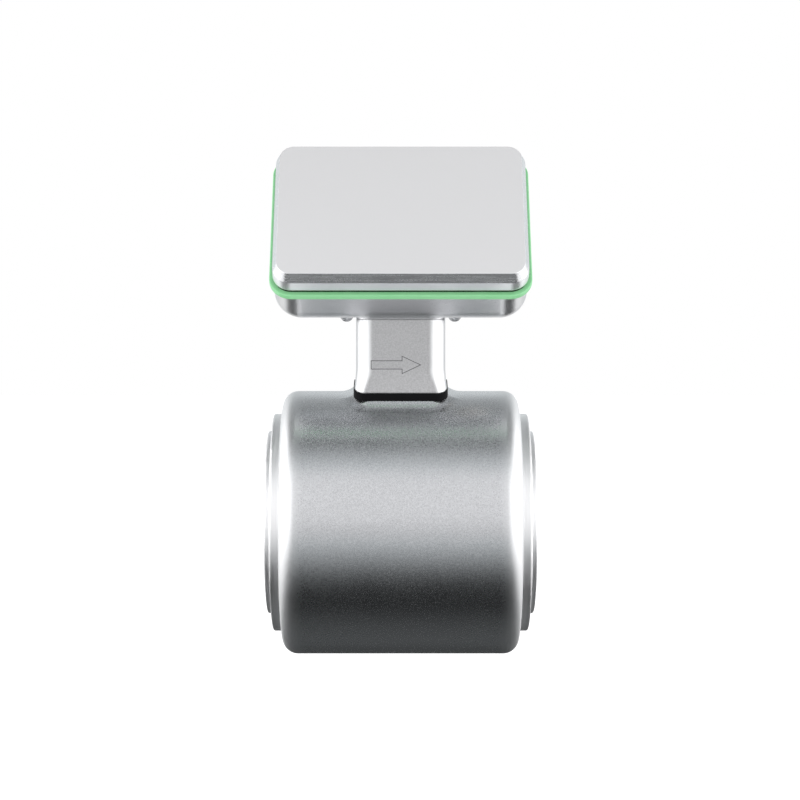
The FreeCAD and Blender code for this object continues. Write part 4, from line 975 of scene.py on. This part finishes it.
@dataclass
class Neck(Assembly):
    """Gasket, neck and its screws, with the flow arrow on the front face."""

    title: str = "neck"
    finishes: dict[str, Finish] = field(default_factory=lambda: finish_map(
        (Palette.rubber, ["neck_gasket", "neck_top_seal"]),
        (Palette.neck, ["neck_column"]),
        (Palette.screw, ["neck_screws", "joint_screws", "sensor_board_screws"]),
        (Palette.board, ["sensor_board"]),
    ))
    front_face: float = -28.8 * MM
    arrow_left: float = -14.6 * MM
    arrow_neck: float = 0.5 * MM
    arrow_tip: float = 10.1 * MM
    arrow_middle: float = 78.6 * MM
    shaft_half: float = 2.2 * MM
    head_half: float = 4.5 * MM
    line_width: float = 0.36 * MM
    line_height: float = 0.05 * MM
    ray_start: float = -100.0 * MM

    def build(self) -> None:
        """Add the flow arrow, a raised outline whose corners lie on the neck's own face."""
        mesh = bmesh.new()
        outline = [(self.arrow_left, -self.shaft_half), (self.arrow_neck, -self.shaft_half),
                   (self.arrow_neck, -self.head_half), (self.arrow_tip, 0.0),
                   (self.arrow_neck, self.head_half), (self.arrow_neck, self.shaft_half),
                   (self.arrow_left, self.shaft_half)]
        corners = [mesh.verts.new((x, self.front_face, self.arrow_middle + z)) for x, z in outline]
        face = mesh.faces.new(corners)
        mesh.normal_update()
        bmesh.ops.inset_region(mesh, faces=[face], thickness=self.line_width, depth=0.0,
                               use_boundary=True, use_even_offset=True)
        bmesh.ops.delete(mesh, geom=[face], context="FACES")
        for corner in mesh.verts:
            found, place, _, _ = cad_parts["neck_column"].ray_cast(
                Vector((corner.co.x, self.ray_start, corner.co.z)), Vector((0.0, 1.0, 0.0)))
            corner.co.y = place.y if found else self.front_face
        band = bmesh.ops.extrude_face_region(mesh, geom=mesh.faces[:])
        raised = [item for item in band["geom"] if isinstance(item, bmesh.types.BMVert)]
        bmesh.ops.translate(mesh, verts=raised, vec=Vector((0.0, -self.line_height, 0.0)))
        self.keep("flow_arrow", mesh, Palette.mark, "neck_steel")


@dataclass
class Head(Assembly):
    """Shell, lit ring, seal, cover and cover screws."""

    title: str = "head"
    finishes: dict[str, Finish] = field(default_factory=lambda: finish_map(
        (Palette.shell, ["rear_shell"]),
        (Palette.guide, ["light_ring"]),
        (Palette.rubber, ["cover_seal"]),
        (Palette.cover, ["front_cover"]),
        (Palette.screw, ["cover_screws"]),
    ))


@dataclass
class Electronics(Assembly):
    """Boards, lamps and what holds them, inside the head."""

    title: str = "electronics"
    finishes: dict[str, Finish] = field(default_factory=lambda: finish_map(
        (Palette.board, ["led_board", "main_board"]),
        (Palette.lamps, ["status_leds"]),
        (Palette.chips, ["board_components"]),
        (Palette.nickel, ["board_standoffs"]),
        (Palette.screw, ["led_board_screws", "board_screws"]),
    ))


@dataclass
class SignalSocket(Assembly):
    """Round threaded connector on the back of the head."""

    title: str = "connector"
    finishes: dict[str, Finish] = field(default_factory=lambda: finish_map(
        (Palette.nickel, ["connector_body", "connector_nut"]),
        (Palette.black, ["connector_insert"]),
        (Palette.gold, ["connector_pins"]),
    ))


# --------------------------------------------------------------------------- studio


@dataclass
class Softbox:
    """A rectangular lamp that looks at a point."""

    name: str
    place: tuple[float, float, float]
    target: tuple[float, float, float]
    width: float
    height: float
    watts: float

    def build(self) -> bpy.types.Object:
        """Hang the lamp.

        Returns:
            The lamp object.
        """
        lamp = bpy.data.lights.new(self.name, "AREA")
        lamp.shape = "RECTANGLE"
        lamp.size = self.width
        lamp.size_y = self.height
        lamp.energy = self.watts
        thing = bpy.data.objects.new(self.name, lamp)
        thing.location = self.place
        aim = Vector(self.target) - Vector(self.place)
        thing.rotation_euler = aim.to_track_quat("-Z", "Y").to_euler()
        thing.visible_camera = False
        bpy.context.scene.collection.objects.link(thing)
        return thing


@dataclass
class Card:
    """A flat card that only mirror-like rays see, shaded from its front edge to its back one."""

    name: str
    place: tuple[float, float, float]
    width: float
    depth: float
    shades: tuple[tuple[float, float], ...]
    faces_down: bool = False
    lean: float = 0.0
    tint: Colour = (0.95, 1.0, 1.01)

    def build(self) -> bpy.types.Object:
        """Put the card at its place, flat or leaning about X.

        Returns:
            The card.
        """
        mesh = bmesh.new()
        bmesh.ops.create_grid(mesh, x_segments=1, y_segments=1, size=1.0, matrix=Matrix.Diagonal(
            (self.width / 2, self.depth / 2, 1.0, 1.0)))
        if self.faces_down:
            bmesh.ops.reverse_faces(mesh, faces=mesh.faces[:])
        card = mesh_object(self.name, mesh)
        card.location = self.place
        card.rotation_euler = (math.radians(self.lean), 0.0, 0.0)
        card.data.materials.append(self._material())
        card.visible_camera = False
        card.visible_diffuse = False
        card.visible_shadow = False
        card.visible_transmission = False
        return card

    def _material(self) -> bpy.types.Material:
        """Make the card's shade from its list of places and levels, front to back.

        Returns:
            The card's material; the side that looks away lets light through.
        """
        material = bpy.data.materials.new(self.name)
        graph = blank_graph(material)
        along = graph.feed(graph.add("ShaderNodeSeparateXYZ"), Vector=graph.place()).outputs[1]
        share = graph.maths("ADD", graph.maths("DIVIDE", along, self.depth), 0.5)
        ramp = graph.add("ShaderNodeValToRGB")
        stops = ramp.color_ramp.elements
        while len(stops) < len(self.shades):
            stops.new(1.0)
        for stop, (position, level) in zip(stops, self.shades):
            stop.position = position
            stop.color = rgba(tuple(level * channel for channel in self.tint))
        graph.feed(ramp, Fac=share)
        shown = graph.feed(graph.add("ShaderNodeEmission"), Color=ramp.outputs[0])
        graph.show_front(shown.outputs[0])
        return material


@dataclass
class Studio:
    """Floor, surround, lamps, cards and camera."""

    eye: tuple[float, float, float] = (-0.00035, -1.150, 0.0805)
    pitch: float = 0.971
    lens: float = 103.5
    sensor: float = 36.0
    far_limit: float = 60.0
    floor_height: float = -0.165
    floor_size: float = 30.0
    floor_colour: Colour = (0.8, 0.8, 0.8)
    floor_roughness: float = 0.9
    floor_lift: float = 0.55
    surround: float = 0.9

    def build(self) -> None:
        """Set up the whole studio."""
        self._surround()
        self._floor()
        self._lamps()
        self._camera()

    def _surround(self) -> None:
        """Make the surround: full white to the camera and in reflections, dimmer as light."""
        world = bpy.data.worlds.new("studio_surround")
        bpy.context.scene.world = world
        graph = blank_graph(world)
        path = graph.add("ShaderNodeLightPath")
        seen = graph.maths("MAXIMUM", path.outputs["Is Camera Ray"],
                           path.outputs["Is Transmission Ray"])
        shown = graph.maths("MAXIMUM", seen, path.outputs["Is Glossy Ray"])
        strength = graph.maths("ADD", self.surround,
                               graph.maths("MULTIPLY", shown, 1.0 - self.surround))
        back = graph.feed(graph.add("ShaderNodeBackground"), Color=rgba((1.0, 1.0, 1.0)),
                          Strength=strength)
        graph.feed(graph.add("ShaderNodeOutputWorld"), Surface=back.outputs[0])
        world.cycles.sampling_method = "NONE"

    def _floor(self) -> None:
        """Lay a pale floor that reads white and keeps a soft shadow; it is clear from below."""
        mesh = bmesh.new()
        bmesh.ops.create_grid(mesh, x_segments=1, y_segments=1, size=self.floor_size / 2,
                              matrix=Matrix.Translation((0.0, 0.0, self.floor_height)))
        floor = mesh_object("studio_floor", mesh)
        material = bpy.data.materials.new("pale_floor")
        graph = blank_graph(material)
        path = graph.add("ShaderNodeLightPath")
        shader = graph.feed(graph.add("ShaderNodeBsdfPrincipled"),
                            Base_Color=rgba(self.floor_colour), Roughness=self.floor_roughness,
                            Specular_IOR_Level=0.0)
        lift = graph.feed(graph.add("ShaderNodeEmission"), Color=rgba((1.0, 1.0, 1.0)),
                          Strength=graph.maths("MULTIPLY", path.outputs["Is Camera Ray"],
                                               self.floor_lift))
        both = graph.add("ShaderNodeAddShader")
        graph.put(both, 0, shader.outputs[0])
        graph.put(both, 1, lift.outputs[0])
        graph.show_front(both.outputs[0])
        floor.data.materials.append(material)

    def _lamps(self) -> None:
        """Hang two side softboxes, and put shaded cards below, above and behind."""
        for name, side in (("left_softbox", -1.0), ("right_softbox", 1.0)):
            Softbox(name, (side * 0.55, -0.22, 0.12), (0.0, 0.0, 0.07), 1.20, 1.1, 4.8).build()
        # From 0.95 m in front of the meter to 0.35 m behind it.
        Card("floor_card", (0.0, -0.30, -0.155), 0.56, 1.30,
             ((0.0, 0.92), (0.24, 0.68), (0.40, 0.50), (0.485, 0.37), (0.57, 0.12),
              (0.615, 0.035), (0.66, 0.03), (0.71, 0.09), (0.75, 0.11), (0.80, 0.07),
              (1.0, 0.06))).build()
        # From 0.45 m in front of the meter to 1.35 m behind it.
        Card("ceiling_card", (0.0, 0.45, 0.46), 0.80, 1.80,
             ((0.0, 0.90), (0.11, 0.52), (0.175, 0.16), (0.236, 0.05), (0.30, 0.26),
              (0.40, 0.44), (0.48, 0.50), (0.62, 0.85), (1.0, 1.0)),
             faces_down=True).build()
        Card("back_card", (0.0, 1.30, 0.10), 3.0, 1.4, ((0.0, 0.76), (1.0, 0.76)),
             lean=90.0).build()

    def _camera(self) -> None:
        """Set a long lens level with the neck, looking slightly down."""
        data = bpy.data.cameras.new("studio_camera")
        data.lens = self.lens
        data.sensor_width = self.sensor
        data.clip_end = self.far_limit
        camera = bpy.data.objects.new("studio_camera", data)
        camera.location = self.eye
        camera.rotation_euler = (math.radians(90.0 - self.pitch), 0.0, 0.0)
        bpy.context.scene.collection.objects.link(camera)
        bpy.context.scene.camera = camera


# --------------------------------------------------------------------------- main


def main() -> None:
    logging.basicConfig(level=logging.INFO, format="%(name)s %(message)s")
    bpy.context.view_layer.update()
    for assembly in (FlowTube(), MeasuringParts(), Neck(), Head(), Electronics(),
                     SignalSocket()):
        assembly.dress()
        assembly.build()
    Studio().build()
    bpy.context.scene.view_settings.view_transform = "Standard"


if __name__ == "__main__":
    main()
